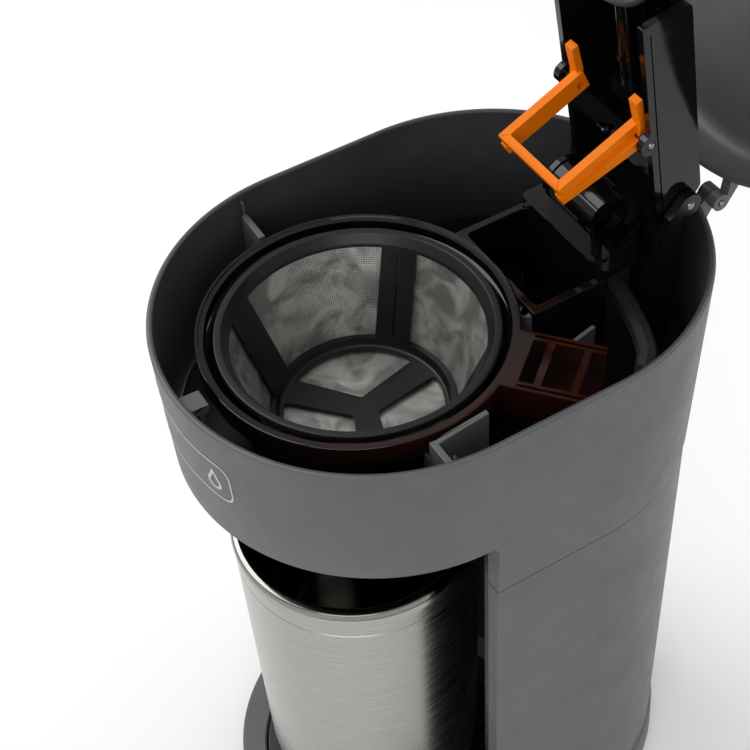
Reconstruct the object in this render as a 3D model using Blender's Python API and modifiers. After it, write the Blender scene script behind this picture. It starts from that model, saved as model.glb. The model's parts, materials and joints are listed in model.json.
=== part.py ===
"""Single-serve drip coffee maker with its lid open, as separate parts.

Sizes are in millimetres and turned into metres when a mesh is made. +Z is up,
-Y is the front, where the mug stands. The origin is on the floor, below the
middle of the object with its lid open.
"""
import math

import bmesh
import bpy
from mathutils import Matrix, Vector

MM = 0.001
TAU = 2 * math.pi

# Driving dimensions of the body.
PLAN_HALF = 20.6            # half the straight stretch of the stadium plan
TOP_RADIUS = 67.0           # plan radius at the rim of the head
SEAM_RADIUS = 64.9          # plan radius at the seam below the head
WALL = 2.0
RIM_Z = 263.4
LIP_Z = 216.0               # lower edge of the head above the mug
SEAM_Z = 191.5
TOWER_FRONT_Y = -19.5
TRAY_Z = 22.4               # the surface the mug stands on
BASE_TOP_Z = 22.0
BASE_BOTTOM_Z = 6.0
FOOT_Z = 3.0
CORD_Z = 34.0

# The brewing axis.
BREW_Y = -26.5
FILTER_Z = 256.0            # top of the filter's rim
FILTER_RADIUS = 43.0
FILTER_FOOT_RADIUS = 28.4
FILTER_DEPTH = 39.0
BASKET_RADIUS = 48.4
ARM_ANGLE = math.radians(40)
NICHE_RADIUS = 59.8

# The deck inside the head.
DECK_Z = 217.0
DECK_THICK = 2.0
WELL_RADIUS = 36.2
WELL_Z = 208.5

# The tank mouth and the water outlet behind it.
MOUTH_HALF = 21.7
MOUTH_FRONT_Y = 21.7
MOUTH_REAR_Y = 49.4
MOUTH_Z = 252.1
FLANGE_FRONT_Y = 46.2
FLANGE_REAR_Y = 65.5
FLANGE_Z = 256.0

# The lid, hinged outside the rear wall.
LID_HINGE_Y = 91.0
LID_HINGE_Z = 262.0
LID_OPEN = math.radians(-90)
LID_KNUCKLE = 3.0
LID_SKIRT_Z = 264.4
LID_TOP_Z = 280.0

# The water arm below the lid, hinged on a post inside the head.
HINGE_Y = 75.5
HINGE_Z = 271.0
ARM_OPEN = math.radians(-81)
CHANNEL_HALF = 21.7
CHANNEL_FACE_Z = 261.1
CHANNEL_CEILING_Z = 277.6

# The seal frame hinged on the water arm.
SEAL_Y = 61.2
SEAL_Z = 298.2
SEAL_TILT = math.radians(24.5)

# The mug.
MUG_RIM_Z = 171.8
MUG_RADIUS = 42.1
MUG_Y = BREW_Y - 6.8

SCREW_PLACES = [(sx * 44.5, y) for sx in (-1, 1) for y in (-58, 58)]
FOOT_PLACES = [(sx * 26, y) for sx in (-1, 1) for y in (-66, 66)]
SIDES = ((-1, "left"), (1, "right"))

# The plan is drawn about the housing's middle. The origin lies under the middle
# of the whole object, whose open lid stands behind the housing.
ORIGIN_Y = 10.7

ARC_STEPS = 18              # steps in each half circle of the plan
ROUND_STEPS = 36            # steps in a full turn of a round part


def clear_scene():
    for obj in list(bpy.data.objects):
        bpy.data.objects.remove(obj, do_unlink=True)


clear_scene()

PARTS = bpy.data.collections.new("drip_coffee_maker")
CUTTERS = bpy.data.collections.new("cutters")
for group in (PARTS, CUTTERS):
    bpy.context.scene.collection.children.link(group)


def material(name, colour, roughness, metallic=0.0):
    mat = bpy.data.materials.new(name)
    mat.use_nodes = True
    shader = mat.node_tree.nodes["Principled BSDF"]
    shader.inputs["Base Color"].default_value = (*colour, 1.0)
    shader.inputs["Roughness"].default_value = roughness
    shader.inputs["Metallic"].default_value = metallic
    mat.diffuse_color = (*colour, 1.0)
    return mat


GREY = (0.127, 0.130, 0.136)
BLACK = (0.012, 0.012, 0.014)
SMOKE = (0.030, 0.009, 0.006)
STEEL = (0.55, 0.54, 0.52)
ORANGE = (1.0, 0.26, 0.0)
RUBBER = (0.02, 0.02, 0.02)
ALUMINIUM = (0.6, 0.6, 0.62)


def add(name, mesh, colour=None, roughness=0.45, metallic=0.0):
    """Link a mesh as a part, or as a cutter when it has no colour."""
    obj = bpy.data.objects.new(name, mesh)
    if colour is None:
        CUTTERS.objects.link(obj)
        obj.hide_render = True
        obj.display_type = "WIRE"
        return obj
    PARTS.objects.link(obj)
    mesh.materials.append(material(name, colour, roughness, metallic))
    return obj


def finish_mesh(bm, name):
    bmesh.ops.recalc_face_normals(bm, faces=bm.faces)
    mesh = bpy.data.meshes.new(name)
    bm.to_mesh(mesh)
    bm.free()
    return mesh


def prism_mesh(name, points, low, high, top_points=None, axis="Z"):
    """Extrude a closed outline from low to high, to top_points where it drafts."""
    bm = bmesh.new()
    base = [bm.verts.new((x * MM, y * MM, low * MM)) for x, y in points]
    face = bm.faces.new(base)
    made = bmesh.ops.extrude_face_region(bm, geom=[face])
    raised = [v for v in made["geom"] if isinstance(v, bmesh.types.BMVert)]
    targets = top_points or points
    for vert in raised:
        index = min(range(len(points)), key=lambda i: (base[i].co - vert.co).length)
        vert.co = (targets[index][0] * MM, targets[index][1] * MM, high * MM)
    if axis == "X":
        turn = Matrix(((0, 0, 1, 0), (1, 0, 0, 0), (0, 1, 0, 0), (0, 0, 0, 1)))
        bmesh.ops.transform(bm, matrix=turn, verts=bm.verts)
    return finish_mesh(bm, name)


def prism(name, points, low, high, top_points=None, axis="Z", **looks):
    """A flat outline given thickness. With axis X the outline is in Y and Z."""
    return add(name, prism_mesh(name, points, low, high, top_points, axis), **looks)


def arc(cx, cy, radius, start, end, steps):
    """Points on an arc, angles in degrees, both ends included."""
    angles = [math.radians(start + (end - start) * i / steps) for i in range(steps + 1)]
    return [(cx + radius * math.cos(a), cy + radius * math.sin(a)) for a in angles]


def stadium(radius, half=PLAN_HALF, steps=ARC_STEPS):
    """The plan of the housing: two half circles joined by straight sides."""
    return arc(0, half, radius, 0, 180, steps) + arc(0, -half, radius, 180, 360, steps)


def rounded(x0, x1, y0, y1, radius, steps=4):
    """A rectangle with round corners."""
    corners = ((x1, y1, 0), (x0, y1, 90), (x0, y0, 180), (x1, y0, 270))
    points = []
    for cx, cy, turn in corners:
        px = cx - radius if cx == x1 else cx + radius
        py = cy - radius if cy == y1 else cy + radius
        points += arc(px, py, radius, turn, turn + 90, steps)
    return points


def plan_radius(z):
    """Plan radius of the head's outer face at a height."""
    share = (z - SEAM_Z) / (RIM_Z - SEAM_Z)
    return SEAM_RADIUS + share * (TOP_RADIUS - SEAM_RADIUS)


def box(name, low, high, bevel=0.0, segments=2, **looks):
    bm = bmesh.new()
    bmesh.ops.create_cube(bm, size=1.0)
    size = [(b - a) * MM for a, b in zip(low, high)]
    middle = [(a + b) / 2 * MM for a, b in zip(low, high)]
    bmesh.ops.scale(bm, vec=size, verts=bm.verts)
    bmesh.ops.translate(bm, vec=middle, verts=bm.verts)
    if bevel:
        bmesh.ops.bevel(bm, geom=bm.edges[:], offset=bevel * MM, segments=segments,
                        profile=0.5, affect="EDGES")
    return add(name, finish_mesh(bm, name), **looks)


def cylinder(name, radius, start, end, steps=24, end_radius=None, **looks):
    """A round bar from start to end, both points in millimetres."""
    a, b = Vector(start) * MM, Vector(end) * MM
    bm = bmesh.new()
    bmesh.ops.create_cone(bm, cap_ends=True, segments=steps, radius1=radius * MM,
                          radius2=(radius if end_radius is None else end_radius) * MM,
                          depth=(b - a).length)
    turn = (b - a).to_track_quat("Z", "Y").to_matrix().to_4x4()
    bmesh.ops.transform(bm, matrix=Matrix.Translation((a + b) / 2) @ turn, verts=bm.verts)
    return add(name, finish_mesh(bm, name), **looks)


def shade(obj, angle=35):
    obj.data.shade_smooth()
    obj.data.set_sharp_from_angle(angle=math.radians(angle))


def turned(name, profile, centre=(0, 0), steps=ROUND_STEPS, **looks):
    """A closed or axis-to-axis profile of (radius, height), turned about Z."""
    bm = bmesh.new()
    verts = [bm.verts.new((r * MM, 0, z * MM)) for r, z in profile]
    pairs = list(zip(verts, verts[1:]))
    if profile[0][0] > 0 or profile[-1][0] > 0:
        pairs.append((verts[-1], verts[0]))
    for pair in pairs:
        bm.edges.new(pair)
    mesh = bpy.data.meshes.new(name)
    bm.to_mesh(mesh)
    bm.free()
    obj = add(name, mesh, **looks)
    obj.location = (centre[0] * MM, centre[1] * MM, 0)
    screw = obj.modifiers.new("turn", "SCREW")
    screw.steps = screw.render_steps = steps
    screw.use_merge_vertices = True
    screw.merge_threshold = 0.00001
    screw.use_smooth_shade = True
    return freeze(obj)


def freeze(obj):
    """Apply the modifiers and make the faces point out."""
    bpy.context.view_layer.update()
    graph = bpy.context.evaluated_depsgraph_get()
    mesh = bpy.data.meshes.new_from_object(obj.evaluated_get(graph))
    obj.modifiers.clear()
    obj.data = mesh
    bm = bmesh.new()
    bm.from_mesh(mesh)
    bmesh.ops.recalc_face_normals(bm, faces=bm.faces)
    bm.to_mesh(mesh)
    bm.free()
    return obj


def tube(name, route, radius, closed=False, sides=2, steps=6, **looks):
    """A bar or hose of round section along a smooth route."""
    curve = bpy.data.curves.new(name, "CURVE")
    curve.dimensions = "3D"
    curve.bevel_depth = radius * MM
    curve.bevel_resolution = sides
    curve.use_fill_caps = not closed
    spline = curve.splines.new("POLY")
    points = route if closed else smooth(route, steps)
    spline.points.add(len(points) - 1)
    for point, place in zip(spline.points, points):
        point.co = (*[v * MM for v in place], 1)
    spline.use_cyclic_u = closed
    maker = bpy.data.objects.new(name + "_curve", curve)
    PARTS.objects.link(maker)
    bpy.context.view_layer.update()
    graph = bpy.context.evaluated_depsgraph_get()
    mesh = bpy.data.meshes.new_from_object(maker.evaluated_get(graph))
    bpy.data.objects.remove(maker)
    bm = bmesh.new()
    bm.from_mesh(mesh)
    bmesh.ops.remove_doubles(bm, verts=bm.verts, dist=0.00001)
    bmesh.ops.recalc_face_normals(bm, faces=bm.faces)
    bm.to_mesh(mesh)
    bm.free()
    return add(name, mesh, **looks)


def smooth(route, steps):
    """Catmull-Rom points through a route."""
    points = [Vector(p) for p in route]
    ends = [2 * points[0] - points[1], *points, 2 * points[-1] - points[-2]]
    out = []
    for p0, p1, p2, p3 in zip(ends, ends[1:], ends[2:], ends[3:]):
        for i in range(steps):
            t = i / steps
            out.append(0.5 * (2 * p1 + (p2 - p0) * t + (2 * p0 - 5 * p1 + 4 * p2 - p3) * t ** 2
                              + (3 * p1 - p0 - 3 * p2 + p3) * t ** 3))
    return out + [points[-1]]


def boolean(obj, others, operation):
    for other in others:
        mod = obj.modifiers.new(operation.lower(), "BOOLEAN")
        mod.operation = operation
        mod.solver = "EXACT"
        mod.object = other
    return freeze(obj)


def cut(obj, *cutters):
    return boolean(obj, cutters, "DIFFERENCE")


def join(obj, *pieces):
    return boolean(obj, pieces, "UNION")


def keep(obj, *limits):
    return boolean(obj, limits, "INTERSECT")


def move(obj, origin, angle=0.0, axis="X"):
    """Put a piece's origin on a pivot and turn it there, its mesh as drawn at rest."""
    pivot = Vector(origin) * MM
    obj.data.transform(Matrix.Translation(-pivot))
    obj.location = pivot
    obj.rotation_euler = (angle if axis == "X" else 0, 0, 0)
    return obj


# ---------------------------------------------------------------- housing

def make_upper_housing():
    shell = prism("upper_housing", stadium(plan_radius(SEAM_Z + 0.3)), SEAM_Z + 0.3, RIM_Z,
                  stadium(TOP_RADIUS), colour=GREY, roughness=0.5)
    low_z, mid_z, over_z = 185.0, LIP_Z - 2, RIM_Z + 5
    inside_top = prism("head_inside", stadium(plan_radius(mid_z) - WALL), mid_z, over_z,
                       stadium(plan_radius(over_z) - WALL))
    front_y = TOWER_FRONT_Y + WALL
    outline = stadium(SEAM_RADIUS - WALL)
    inside_low = prism("head_inside_low", outline, low_z, mid_z + 0.5)
    keep(inside_low, box("head_rear_only", (-90, front_y, low_z - 5), (90, 120, LIP_Z + 5)))
    mouth = box("mug_bay_cut", (-90, -100, 150), (90, TOWER_FRONT_Y, LIP_Z), bevel=4, segments=3)
    niche = cylinder("niche_cut", NICHE_RADIUS, (0, BREW_Y, low_z), (0, BREW_Y, mid_z), steps=48)
    cut(shell, inside_top, inside_low, mouth, niche)
    shade(shell)


def make_tower_shell():
    low, high = BASE_TOP_Z + 0.4, SEAM_Z - 0.3
    shell = prism("tower_shell", stadium(SEAM_RADIUS - 0.4), low, high, colour=GREY,
                  roughness=0.5)
    front = box("tower_front_cut", (-90, -100, low - 5), (90, TOWER_FRONT_Y, high + 5))
    inside = prism("tower_inside", stadium(SEAM_RADIUS - 0.4 - WALL), low - 5, high + 5)
    keep(inside, box("tower_rear_only", (-90, TOWER_FRONT_Y + WALL, low - 9), (90, 120, high + 9)))
    niche = cylinder("tower_niche_cut", NICHE_RADIUS, (0, BREW_Y, low - 5),
                     (0, BREW_Y, high + 5), steps=48)
    cord_hole = cylinder("cord_hole_cut", 6.4, (0, 60, CORD_Z), (0, 110, CORD_Z))
    cut(shell, front, inside, niche, cord_hole)
    shade(shell)


def make_bay_liner():
    low, high = BASE_TOP_Z + 0.4, DECK_Z - 0.3
    liner = cylinder("bay_liner", NICHE_RADIUS - 0.3, (0, BREW_Y, low), (0, BREW_Y, high),
                     steps=48, colour=BLACK, roughness=0.4)
    hollow = cylinder("liner_hollow", NICHE_RADIUS - 2.3, (0, BREW_Y, low - 5),
                      (0, BREW_Y, high + 5), steps=48)
    front = box("liner_front_cut", (-90, -120, 0), (90, TOWER_FRONT_Y + 0.2, 240))
    cut(liner, hollow, front)
    shade(liner)


def make_inner_deck():
    top = DECK_Z + DECK_THICK
    deck = prism("inner_deck", stadium(plan_radius(DECK_Z) - WALL - 0.35), DECK_Z, top,
                 colour=BLACK, roughness=0.45)
    well = cylinder("deck_well", WELL_RADIUS + 2, (0, BREW_Y, WELL_Z), (0, BREW_Y, DECK_Z + 1),
                    steps=48)
    join(deck, well)
    hollow = cylinder("well_hollow", WELL_RADIUS, (0, BREW_Y, WELL_Z + 2), (0, BREW_Y, top + 5),
                      steps=48)
    nozzle = cylinder("nozzle_hole", 13, (0, BREW_Y, WELL_Z - 5), (0, BREW_Y, top), steps=32)
    spigot = box("spigot_hole", (-12.5, 37, DECK_Z - 5), (12.5, 47.5, top + 5))
    hose = cylinder("riser_hole", 5, (43.5, 48, DECK_Z - 5), (43.5, 48, top + 5))
    cut(deck, hollow, nozzle, spigot, hose)
    shade(deck)


def make_basket_support(side):
    """A rib on the side wall, stepped down under the basket's ring."""
    word = "left" if side < 0 else "right"
    deck = DECK_Z + DECK_THICK + 0.3
    wall_x = plan_radius(deck) - WALL - 1.3
    outline = [(46.6, deck), (wall_x, deck), (wall_x, 256.3), (49.9, 256.3), (49.9, 249.0),
               (46.6, 249.0)]
    y0 = BREW_Y - 6.4
    rib = prism(f"basket_support_{word}", [(-z, x) for x, z in outline], y0, y0 + 2.2,
                colour=GREY, roughness=0.55)
    turn = Matrix(((0, side, 0, 0), (0, 0, 1, 0), (-1, 0, 0, 0), (0, 0, 0, 1)))
    rib.data.transform(turn)
    if side > 0:
        join(rib, prism("rib_web", [(49.9, y0 + 1), (48.3, y0 + 20), (50.1, y0 + 20),
                                    (51.9, y0 + 1)], deck, 256.3))
    bm = bmesh.new()
    bm.from_mesh(rib.data)
    bmesh.ops.recalc_face_normals(bm, faces=bm.faces)
    bm.to_mesh(rib.data)
    bm.free()


def make_seat_bracket():
    """A low wall between the basket and the tank mouth, with a holed ear at each end."""
    deck = DECK_Z + DECK_THICK + 0.3
    rear = MOUTH_FRONT_Y - 0.4
    wall = box("seat_bracket", (-17, rear - 1.6, deck), (17, rear, 248.6), colour=GREY,
               roughness=0.55)
    for side in (-1, 1):
        ear = prism(f"seat_ear_{side}", arc(side * 18.9, rear, 2.7, 180, 360, 12), deck, 251.5)
        hole = cylinder(f"ear_hole_{side}", 1.05, (side * 18.9, rear - 1.35, 240),
                        (side * 18.9, rear - 1.35, 260), steps=12)
        join(wall, ear)
        cut(wall, hole)


def make_front_catch():
    """The tab at the front that keys the basket's flat."""
    deck = DECK_Z + DECK_THICK + 0.3
    plate = box("front_catch", (-3.2, BREW_Y - 54.5, deck), (3.2, BREW_Y - 52.7, 256),
                colour=GREY, roughness=0.5)
    tab = box("catch_tab", (-3.2, BREW_Y - 57.6, 254.4), (3.2, BREW_Y - 51.0, 256.4), bevel=0.5,
              segments=1)
    rib = box("catch_rib", (-1.0, BREW_Y - 57.6, deck), (1.0, BREW_Y - 53.5, 255))
    join(plate, tab, rib)


def make_base():
    shell = prism("base_shell", stadium(TOP_RADIUS - 1.0), BASE_BOTTOM_Z, BASE_TOP_Z,
                  stadium(TOP_RADIUS - 1.6), colour=GREY, roughness=0.5)
    hollow = prism("base_hollow", stadium(TOP_RADIUS - 1 - WALL - 0.6), 0, BASE_TOP_Z - 2)
    tray_floor = 10.0
    pocket_wall = cylinder("tray_pocket_wall", 52.6, (0, BREW_Y, tray_floor - 2),
                           (0, BREW_Y, BASE_TOP_Z - 0.5), steps=48)
    pocket = cylinder("tray_pocket", 50.6, (0, BREW_Y, tray_floor), (0, BREW_Y, 40), steps=48)
    cut(shell, hollow)
    join(shell, pocket_wall)
    service = prism("service_hole", rounded(-44, 44, 38, 66, 8), 10, 40)
    button = cylinder("button_hole", 8.3, (46, 0, 14), (75, 0, 14), steps=32)
    cut(shell, pocket, service, button)
    shade(shell)

    plate = prism("base_plate", stadium(TOP_RADIUS - 4.2), FOOT_Z + 0.3, BASE_BOTTOM_Z - 0.4,
                  colour=BLACK, roughness=0.6)
    holes = [cylinder(f"screw_hole_{i}", 1.8, (x, y, 0), (x, y, 12), steps=16)
             for i, (x, y) in enumerate(SCREW_PLACES)]
    cut(plate, *holes)
    shade(plate)


def make_feet():
    for index, (x, y) in enumerate(FOOT_PLACES):
        foot = cylinder(f"rubber_foot_{index + 1}", 7.0, (x, y, 0), (x, y, FOOT_Z), steps=20,
                        end_radius=7.8, colour=RUBBER, roughness=0.8)
        shade(foot)


def make_screws():
    for index, (x, y) in enumerate(SCREW_PLACES):
        turned(f"base_screw_{index + 1}", [(0, 14.0), (1.4, 14.0), (1.4, 3.0), (3.2, 3.0),
                                           (3.2, 1.6), (0, 1.6)], centre=(x, y), steps=12,
               colour=STEEL, roughness=0.35, metallic=1.0)


def make_tray():
    brim = TRAY_Z - 3.5
    turned("drip_tray", [(50.0, brim), (50.0, 10.4), (0, 10.4), (0, 12.0), (47.3, 12.0),
                         (48.2, brim)], centre=(0, BREW_Y), colour=BLACK, roughness=0.4)
    grate = cylinder("drip_grate", 50.0, (0, BREW_Y, brim + 0.4), (0, BREW_Y, TRAY_Z), steps=48,
                     colour=BLACK, roughness=0.4)
    under = cylinder("grate_under", 48.0, (0, BREW_Y, 10), (0, BREW_Y, TRAY_Z - 1.4), steps=48)
    slots = []
    for index in range(-4, 5):
        x = index * 9.0
        reach = math.sqrt(44.0 ** 2 - x ** 2)
        slots.append(box(f"grate_slot_{index}", (x - 1.6, BREW_Y - reach, 15),
                         (x + 1.6, BREW_Y + reach, 30)))
    cut(grate, under, *slots)
    shade(grate)
    shade(bpy.data.objects["drip_tray"])


# ---------------------------------------------------------------- water path

def make_tank():
    low, high = 60.0, DECK_Z - 3
    tank = prism("water_tank", rounded(-38, 38, 37.0, 74.0, 14), low, high, colour=SMOKE,
                 roughness=0.15)
    inside = prism("tank_inside", rounded(-36, 36, 39.0, 72.0, 12), low + 2, high - 2)
    mouth = box("tank_mouth", (-11.8, 37.5, high - 4), (11.8, 47.0, high + 5))
    cut(tank, inside, mouth)
    outlet = cylinder("tank_outlet", 4.0, (-10, 50, low - 8), (-10, 50, low + 1))
    join(tank, outlet)
    cut(tank, cylinder("outlet_bore", 2.4, (-10, 50, low - 12), (-10, 50, low + 4)))
    shade(tank)


def make_fill_neck():
    deck = DECK_Z + DECK_THICK + 0.3
    neck = box("fill_neck", (-MOUTH_HALF, MOUTH_FRONT_Y, deck), (MOUTH_HALF, MOUTH_REAR_Y, MOUTH_Z),
               colour=SMOKE, roughness=0.12)
    spigot = box("neck_spigot", (-11.4, 37.9, 211), (11.4, 46.6, deck + 1))
    join(neck, spigot)
    bar = 3.2
    inside = box("neck_inside", (-MOUTH_HALF + bar, MOUTH_FRONT_Y + bar, deck + 2),
                 (MOUTH_HALF - bar, MOUTH_REAR_Y - bar, MOUTH_Z + 5), bevel=1.2)
    drain = box("neck_drain", (-9.8, 39.5, 205), (9.8, 45.0, deck + 6))
    cut(neck, inside, drain)
    seal = box("neck_seal", (-15, 34.6, 214.3), (15, 50.0, 216.7), colour=RUBBER, roughness=0.8)
    cut(seal, box("seal_hole", (-11.8, 37.5, 210), (11.8, 47.0, 220)))


def make_spout_block():
    """The outlet flange behind the mouth, with its legs and pedestal."""
    deck = DECK_Z + DECK_THICK + 0.3
    flange = prism("spout_block", rounded(-22, 22, FLANGE_FRONT_Y, FLANGE_REAR_Y, 3),
                   FLANGE_Z - 3, FLANGE_Z, colour=SMOKE, roughness=0.15)
    step = prism("flange_step", rounded(-18, 18, FLANGE_FRONT_Y + 1.6, 64, 3), FLANGE_Z - 1,
                 FLANGE_Z + 0.9)
    outline = [(49.5, FLANGE_Z - 1), (49.5, 267), (54.5, 273.5), (58.5, 274), (61.5, 271),
               (61.5, FLANGE_Z - 1)]
    pedestal = prism("pedestal", outline, -12.5, 12.5, axis="X")
    legs = [box(f"flange_leg_{side}", (side * 15 - 1.2, 50.2, deck),
                (side * 15 + 1.2, 53.4, FLANGE_Z - 2)) for side in (-1, 1)]
    port = cylinder("riser_port", 5.2, (8, 58, 244), (8, 58, FLANGE_Z - 2))
    join(flange, step, pedestal, *legs, port)
    riser = cylinder("riser_bore", 2.6, (8, 58, 240), (8, 58, 266))
    nozzle = cylinder("outlet_bore_front", 2.6, (8, 45, 263.5), (8, 58, 263.5))
    cut(flange, riser, nozzle)
    shade(flange, 30)


def make_heating():
    """The aluminium heater and what feeds it, at the foot of the tower."""
    arc_points = [(-24, 40, 36), (-26, 56, 36), (-16, 68, 36), (0, 72, 36), (16, 68, 36),
                  (26, 56, 36), (24, 40, 36)]
    tube("heater", arc_points, 6.5, steps=4, colour=ALUMINIUM, roughness=0.4, metallic=1.0)
    box("heater_clamp", (-9, 62, 23), (9, 80, 28.8), colour=STEEL, roughness=0.4, metallic=1.0)
    cylinder("thermostat", 8.0, (0, 72, 43.2), (0, 72, 50), colour=ALUMINIUM, roughness=0.5,
             metallic=0.8)
    cylinder("thermal_fuse", 2.2, (10, 54, 44), (10, 40, 44), steps=16, colour=STEEL,
             roughness=0.4, metallic=1.0)
    cylinder("check_valve", 5.0, (-10, 50, 51.4), (-10, 50, 47.4), colour=BLACK, roughness=0.5)
    inlet_route = [(-10, 50, 46.8), (-10, 49.6, 43), (-11, 42, 37.5), (-16, 34.4, 36),
                   (-22, 33.6, 36), (-23.9, 36.4, 36), (-24, 39.2, 36)]
    tube("inlet_hose", inlet_route, 2.4, steps=3, colour=RUBBER, roughness=0.7)
    riser_route = [(24, 39.2, 36), (24.1, 36.4, 36), (27, 33.6, 37), (33, 34.5, 42),
                   (42, 44, 54), (43.5, 48, 80), (43.5, 48, 150), (43.5, 48, 224), (38, 53, 233),
                   (20, 58, 236), (9.5, 58, 238.5), (8, 58, 243.4)]
    tube("riser_hose", riser_route, 3.4, steps=3, colour=RUBBER, roughness=0.7)


# ---------------------------------------------------------------- lid

def arm_pose(obj):
    return move(obj, (0, HINGE_Y, HINGE_Z), ARM_OPEN)


def lid_bore(name):
    return cylinder(name, 1.3, (-30, LID_HINGE_Y, LID_HINGE_Z), (30, LID_HINGE_Y, LID_HINGE_Z),
                    steps=20)


def make_lid_cover():
    edge = 6.0
    lid = prism("lid_cover", stadium(TOP_RADIUS), LID_SKIRT_Z, LID_TOP_Z - edge, colour=GREY,
                roughness=0.5)
    crown = prism("lid_crown", stadium(TOP_RADIUS), LID_TOP_Z - edge - 0.01, LID_TOP_Z,
                  stadium(TOP_RADIUS - edge))
    join(lid, crown)
    inside = prism("lid_inside", stadium(TOP_RADIUS - WALL), LID_SKIRT_Z - 5, LID_TOP_Z - edge - 1)
    dome = prism("lid_inside_dome", stadium(TOP_RADIUS - WALL), LID_TOP_Z - edge - 1.01,
                 LID_TOP_Z - WALL, stadium(TOP_RADIUS - edge - 1))
    join(inside, dome)
    cut(lid, inside)
    root_y = PLAN_HALF + TOP_RADIUS - 4.0
    outline = [(root_y, 270.0), (root_y, LID_SKIRT_Z + 0.4),
               *arc(LID_HINGE_Y, LID_HINGE_Z, LID_KNUCKLE, 135, 405, 16)]
    for side in (-1, 1):
        x0, x1 = sorted((side * 18.4, side * 22.0))
        join(lid, prism(f"lid_knuckle_{side}", outline, x0, x1, axis="X"))
    cut(lid, lid_bore("lid_pin_bore"))
    shade(lid)
    move(lid, (0, LID_HINGE_Y, LID_HINGE_Z), LID_OPEN)


def make_lid_hinge():
    """Two lugs outside the rear wall of the head, beside the lid's knuckles, and the pins."""
    root_y = PLAN_HALF + TOP_RADIUS - 3.2
    outline = [(root_y, 252.0), (LID_HINGE_Y - 2.6, 252.0),
               *arc(LID_HINGE_Y, LID_HINGE_Z, LID_KNUCKLE, -60, 170, 14), (root_y, 258.0)]
    shell = bpy.data.objects["upper_housing"]
    for side in (-1, 1):
        x0, x1 = sorted((side * 14.0, side * 18.0))
        join(shell, prism(f"lid_lug_{side}", outline, x0, x1, axis="X"))
    cut(shell, lid_bore("lug_bore"))
    shade(shell)
    for side, word in SIDES:
        pin = cylinder(f"lid_pin_{word}", 1.0, (side * 13.6, LID_HINGE_Y, LID_HINGE_Z),
                       (side * 22.4, LID_HINGE_Y, LID_HINGE_Z), steps=20, colour=STEEL,
                       roughness=0.3, metallic=1.0)
        shade(pin)


def make_arm_channel():
    """The U-shaped water arm, open below, with shallow ribs in its ceiling."""
    rear, front = 80.5, 3.5
    channel = prism("arm_channel",
                    [(front, CHANNEL_FACE_Z), (front, CHANNEL_CEILING_Z),
                     (rear - 7, CHANNEL_CEILING_Z), (rear, CHANNEL_CEILING_Z - 6.1),
                     (rear, CHANNEL_FACE_Z)],
                    -CHANNEL_HALF, CHANNEL_HALF, axis="X", colour=SMOKE, roughness=0.12)
    ceiling = CHANNEL_CEILING_Z - 1.6
    hollow = prism("channel_hollow", [(front - 5, CHANNEL_FACE_Z - 5), (front - 5, ceiling),
                                      (rear - 7.8, ceiling), (rear - 1.6, ceiling - 5.4),
                                      (rear - 1.6, CHANNEL_FACE_Z - 5)],
                   -CHANNEL_HALF + 2.4, CHANNEL_HALF - 2.4, axis="X")
    cut(channel, hollow)
    ribs = [box(f"channel_rib_{side}", (side * 9 - 0.7, front + 1, CHANNEL_CEILING_Z - 3.0),
                (side * 9 + 0.7, rear - 11, CHANNEL_CEILING_Z - 1)) for side in (-1, 1)]
    join(channel, *ribs)
    hinge = cylinder("channel_hinge_bore", 1.8, (-30, HINGE_Y, HINGE_Z), (30, HINGE_Y, HINGE_Z))
    seal_y, seal_z = closed_seal_pivot()
    seal = cylinder("channel_seal_bore", 1.5, (-30, seal_y, seal_z), (30, seal_y, seal_z))
    lugs = [cylinder(f"seal_lug_{side}", 3.6,
                     (side * (CHANNEL_HALF - 2.4), seal_y, seal_z),
                     (side * CHANNEL_HALF, seal_y, seal_z)) for side in (-1, 1)]
    join(channel, *lugs)
    cut(channel, hinge, seal)
    shade(channel)
    arm_pose(channel)


def closed_seal_pivot():
    """Where the seal frame's pivot lies when the arm is down."""
    dy, dz = SEAL_Y - HINGE_Y, SEAL_Z - HINGE_Z
    c, s = math.cos(-ARM_OPEN), math.sin(-ARM_OPEN)
    return HINGE_Y + dy * c - dz * s, HINGE_Z + dy * s + dz * c


def make_shower():
    head = turned("shower_head", [(0, 277.4), (4.4, 277.4), (4.4, 265.6), (26, 264.6), (30, 262.4),
                                  (30, 260.6), (28.4, 260.6), (0, 261.0)],
                  centre=(0, BREW_Y), steps=32, colour=BLACK, roughness=0.35)
    holes = []
    for count, radius in ((5, 9.0), (8, 19.0)):
        for index in range(count):
            a = TAU * index / count
            x, y = radius * math.cos(a), BREW_Y + radius * math.sin(a)
            holes.append(cylinder(f"shower_hole_{count}_{index}", 1.2, (x, y, 255), (x, y, 263),
                                  steps=6))
    bpy.context.view_layer.update()
    cut(head, *holes)
    head.data.transform(head.matrix_world)
    head.location = (0, 0, 0)
    shade(head, 30)
    arm_pose(head)
    pipe = cylinder("arm_water_tube", 3.0, (0, 44, 270.5), (0, BREW_Y + 4.8, 270.5),
                    colour=SMOKE, roughness=0.15)
    cup = box("water_inlet_cup", (-5, 40.5, 266.5), (11, 46.5, 274), bevel=1, segments=1)
    join(pipe, cup)
    cut(pipe, cylinder("water_tube_bore", 1.8, (0, 43, 270.5), (0, BREW_Y, 270.5)),
        box("inlet_cup_hollow", (-3.6, 42, 267.8), (9.6, 50, 272.6)))
    shade(pipe)
    arm_pose(pipe)


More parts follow.
